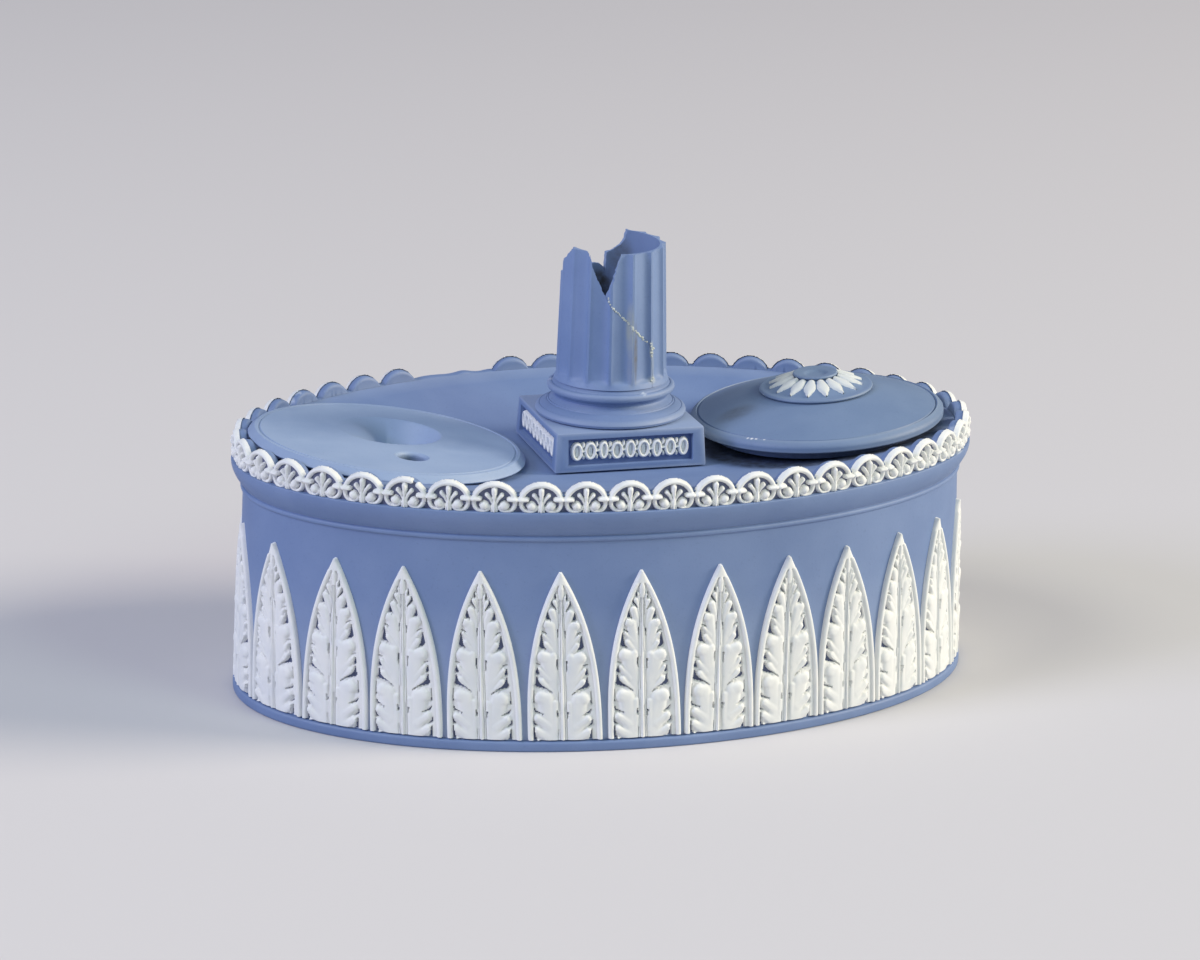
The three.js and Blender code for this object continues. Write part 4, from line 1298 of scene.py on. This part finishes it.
def tilted(bm, sizes):
    turn = Matrix.Translation(sizes["at"]) @ Matrix.Rotation(math.radians(sizes["tilt"]), 4, "Y")
    bmesh.ops.transform(bm, matrix=turn, verts=bm.verts)


def tiltedPiece(name, bm, sizes, paint, body, node, sharp=35):
    tilted(bm, sizes)
    finishPiece(name, bm, [paint], [node], body, sharp)


def incised(sizes, inside, outside):  # a groove between these heights
    groove, wide, deep = sizes["groove"], sizes["grooveWide"], sizes["grooveDeep"]
    return [(groove - wide, inside), (groove - wide * 0.3, -deep), (groove + wide * 0.3, -deep),
            (groove + wide, outside)]


def makeWell(pale, blue):
    r, groove, rim, thick = well["radius"], well["groove"], well["rim"], well["thick"]
    rings = [(k / 84 * (groove - well["grooveWide"] - 0.3), -0.02) for k in range(85)]
    disc = spun([*rings, *incised(well, -0.02, 0), (groove + 0.9, -0.08), (r - 0.7, -0.75), (r - 0.2, -1.15),
                 (r, -1.5), (r - 0.25, -rim), (groove + 0.6, -rim - 0.1), (well["pot"] + 1, -thick),
                 (0, -thick)], 224)
    x, y = well["hollow"]
    cup = spun(well["cup"], 96)
    bmesh.ops.translate(cup, verts=cup.verts, vec=(x, y, 0))
    disc = carved(disc, [cup], "UNION")
    for vert in disc.verts:
        if vert.co.z > -0.2:
            vert.co.z -= hollowDepth(vert.co.x, vert.co.y)
    q = well["quillRadius"]
    quill = spun([(0, 2), *[(q + out, z) for out, z in well["quillProfile"]], (0, -5)], 72)
    bmesh.ops.translate(quill, verts=quill.verts, vec=(*well["quill"], 0))
    disc = carved(disc, [rod(well["throat"], -12, 4, x + well["throatSlip"], y), quill])
    tiltedPiece("cover_disc", disc, well, pale, "left_well", "well_cover")
    radius, depth, high, wall = well["pot"], well["potDepth"], well["potTop"], well["potWall"]
    pot = spun([(0, -depth), (radius, -depth, 2.0), (radius, high, 0.3), (radius - wall, high, 0.3),
                (radius - wall, wall - depth, 3.0), (0, wall - depth)], 128)
    tiltedPiece("ink_pot", pot, well, blue, "left_well", "well_pot")
    print("well made")


def hollowDepth(x, y):
    dx, dy = x - well["hollow"][0], y - well["hollow"][1]
    soft = max(0.0, math.cos(math.atan2(dy, dx) - math.radians(well["softAt"]))) ** well["softWide"]
    inside = well["mouth"] + well["softMore"] * soft - math.hypot(dx, dy)
    if inside <= 0:
        return 0.0
    outside = max(0.0, math.hypot(dx - well["throatSlip"], dy) - well["throat"])
    fall = inside / (inside + outside)
    steep = 1 - (1 - fall) ** well["steep"]
    power, even = well["softSlope"]
    gentle = fall ** power * (1 - even) + even * fall
    return well["deep"] * (steep * (1 - soft) + gentle * soft)


# Right pot and lid
cap = {
    "at": (47.35, 0, 56.65),
    "tilt": -4.351,
    "radius": 27.55,
    "rim": 2.46,
    "flat": 12.0,  # below the knob
    "groove": 25.95,
    "grooveWide": 0.3,
    "grooveDeep": 0.4,
    "dome": 3.85,
    "inside": 17.0,
    "pot": 19.95,
    "collar": 23.45,
    "collarThick": 2.1,
    "collarLow": 0.3,  # room between it and the lid
    "neck": 16.65,
    "neckWall": 2,
    "potDepth": 45.25,
    "potWall": 3,
}
knob = {
    "foot": 4.0,
    "radius": 12.4,
    "ring": 0.75,
    "dome": 10.3,
    "domeTop": 6.75,
    "button": 4.9,
    "rim": 7.75,
    "lip": 2.3,  # width of the button's sloping rim
    "dish": 0.75,
    "petals": 16,
    "petalCells": (14, 18),  # across and along a petal
    "petalRoot": 0.78,  # its width at the root, as a share of its widest
    "petalTurn": 5,
    "petalReach": 10.25,
    "petalHeight": 0.5,
    "petalWide": 0.94,  # share of its room that a petal fills
    "petalBelly": 0.5,  # where it is widest
}


def makeLid(lidBlueChipsAndShade, blue):
    r, groove, rim, dome, flat = (cap[size] for size in ("radius", "groove", "rim", "dome", "flat"))
    face = [(k / 16 * flat, dome) for k in range(17)]
    for k in range(1, 25):
        s = k / 24
        face.append((flat + (groove - 0.6 - flat) * s, dome - (dome - 0.1) * (0.72 * s + 0.28 * s ** 2.2)))
    lid = spun([*face, *incised(cap, 0, -0.02), (groove + 0.8, -0.25), (r - 0.35, -0.65), (r - 0.05, -1.1),
                (r, -1.5), (r - 0.05, 0.25 - rim), (r - 0.3, -rim), (cap["inside"], -rim),
                (cap["inside"], -0.4), (10.4, 0.95), (0, 1.2)], 224)
    tiltedPiece("lid_dome", lid, cap, lidBlueChipsAndShade, "lid", "lid")
    radius, collar, neck = cap["pot"], cap["collar"], cap["neck"]
    depth, wall = cap["potDepth"], cap["potWall"]
    inner, thick = neck - cap["neckWall"], cap["collarThick"]
    high = -rim - cap["collarLow"]
    pot = spun([(0, -depth), (radius, -depth, 2.0), (radius, high - thick, 0.2), (collar, high - thick, 0.3),
                (collar, high, 0.3), (neck, high, 0.2), (neck, high + thick, 0.3), (inner, high + thick, 0.3),
                (inner, high - thick), (radius - wall, high - 4.4, 0.8), (radius - wall, wall - depth, 3.0),
                (0, wall - depth)], 128)
    tiltedPiece("sand_pot", pot, cap, blue, "right_pot", "collar_pot")
    print("lid made")


def domeHeight(r):
    s = min(1.0, max(0.0, (knob["dome"] - r) / (knob["dome"] - knob["button"])))
    ring = knob["foot"] + knob["ring"]
    return ring + (knob["domeTop"] - ring) * (0.55 * s + 0.45 * math.sin(s * math.pi / 2))


def petalGrid():
    inner, count, belly, root = (knob[size] for size in ("button", "petals", "petalBelly", "petalRoot"))
    inner += 0.05
    across, along = knob["petalCells"]
    bm = bmesh.new()
    bmesh.ops.create_grid(bm, x_segments=count * across, y_segments=along, size=1)
    for vert in bm.verts:
        turn = (vert.co.x + 1) / 2 * count
        s = (vert.co.y + 1) / 2
        r = inner + (knob["petalReach"] - inner) * s
        aside = abs(turn - math.floor(turn) - 0.5) * 2
        if s < belly:
            share = root + (1 - root) * math.sin(s / belly * math.pi / 2)
        else:
            share = (1 - s) / (1 - belly)
        half = knob["petalWide"] * share + 0.01
        lift = knob["petalHeight"] * math.sqrt(max(0.0, 1 - (aside / half) ** 2)) if aside < half else -0.2
        angle = 2 * math.pi * turn / count + math.radians(knob["petalTurn"])
        vert.co = (r * math.cos(angle), r * math.sin(angle), domeHeight(r) + lift)
        vert.tag = lift < 0
    bare = [face for face in bm.faces if all(vert.tag for vert in face.verts)]
    bmesh.ops.delete(bm, geom=bare, context="FACES")
    bmesh.ops.remove_doubles(bm, verts=bm.verts, dist=1e-4)
    return bm


def makeKnob(blue, white):
    foot, ring = knob["foot"], knob["foot"] + knob["ring"]
    b, rim, high, r = knob["button"], knob["rim"], knob["domeTop"], knob["radius"]
    radii = [knob["dome"] - (knob["dome"] - b) * k / 8 for k in range(9)]
    inner, low = b - knob["lip"], rim - knob["dish"]
    bm = spun([(0, foot), (r - 0.2, foot, 0.1), (r, foot + 0.35), (r - 0.1, ring - 0.1, 0.1),
               (r - 0.5, ring + 0.05, 0.2), *[(radius, domeHeight(radius)) for radius in radii],
               (b - 0.45, high + 0.1), (b - 0.3, high + 0.25), (b, rim - 0.4, 0.1), (b - 0.15, rim, 0.2),
               (inner, rim - 0.3, 0.3), (inner - 0.7, low, 0.4), (0, low - 0.05)], 144, 3)
    tiltedPiece("knob_dome", bm, cap, blue, "lid", "lid_knob")
    tiltedPiece("daisy_petals", petalGrid(), cap, white, "lid", "lid_petals", 60)
    print("knob made")


makeCamera()
makeStudio()
blue = bluePaint("blue_stoneware")
# painted shade, partly darker clay: the gallery's ground behind the frieze and the sheet in the leaves' holes
deep = bluePaint("blue_ground_shade", tint("ground"))
# a paler copy of the clay for the cover: painted sheen, partly a paler clay
cover = bluePaint("blue_cover_sheen", tint("cover"), 0)
# the lid's paint: painted sheen, a painted shadow of the column, and real chips
lidBlueChipsAndShade = bluePaint("blue_lid_chips_sheen_shadow", inTurn(tint("lid"), marked(lidChipsAndShadow)))
white = whitePaint("white_relief")
makeDrum(blue)
makeTray(bluePaint("blue_tray_shade", marked(trayShade, 0.12)))
makeGallery(blue, deep)
makeLeaves(white, deep)
makeFrieze(white)
# the panels' floors get painted shade
makePlinth(blue, bluePaint("blue_panel_shade", tint("panel")))
makeChains(white)
makeColumnBase(blue)
# the shaft's paint: painted light, painted shade inside the hollow, and real stains
shaftStainsAndLight = bluePaint("blue_shaft_stains_and_light", inTurn(tint("shaft"), marked(shaftStainsAndShade)), 0)
makeShaft(shaftStainsAndLight, bluePaint("blue_break_pale_and_highlight", tint("break"), 0))
makeGlue()
makeWell(cover, blue)
makeLid(lidBlueChipsAndShade, bluePaint("blue_pot_shade", marked(potCollarShade, 0.2)))
makeKnob(lidBlueChipsAndShade, whitePaint("white_petals", 0, whiteClay["petals"]))

scene.view_settings.view_transform = "Standard"
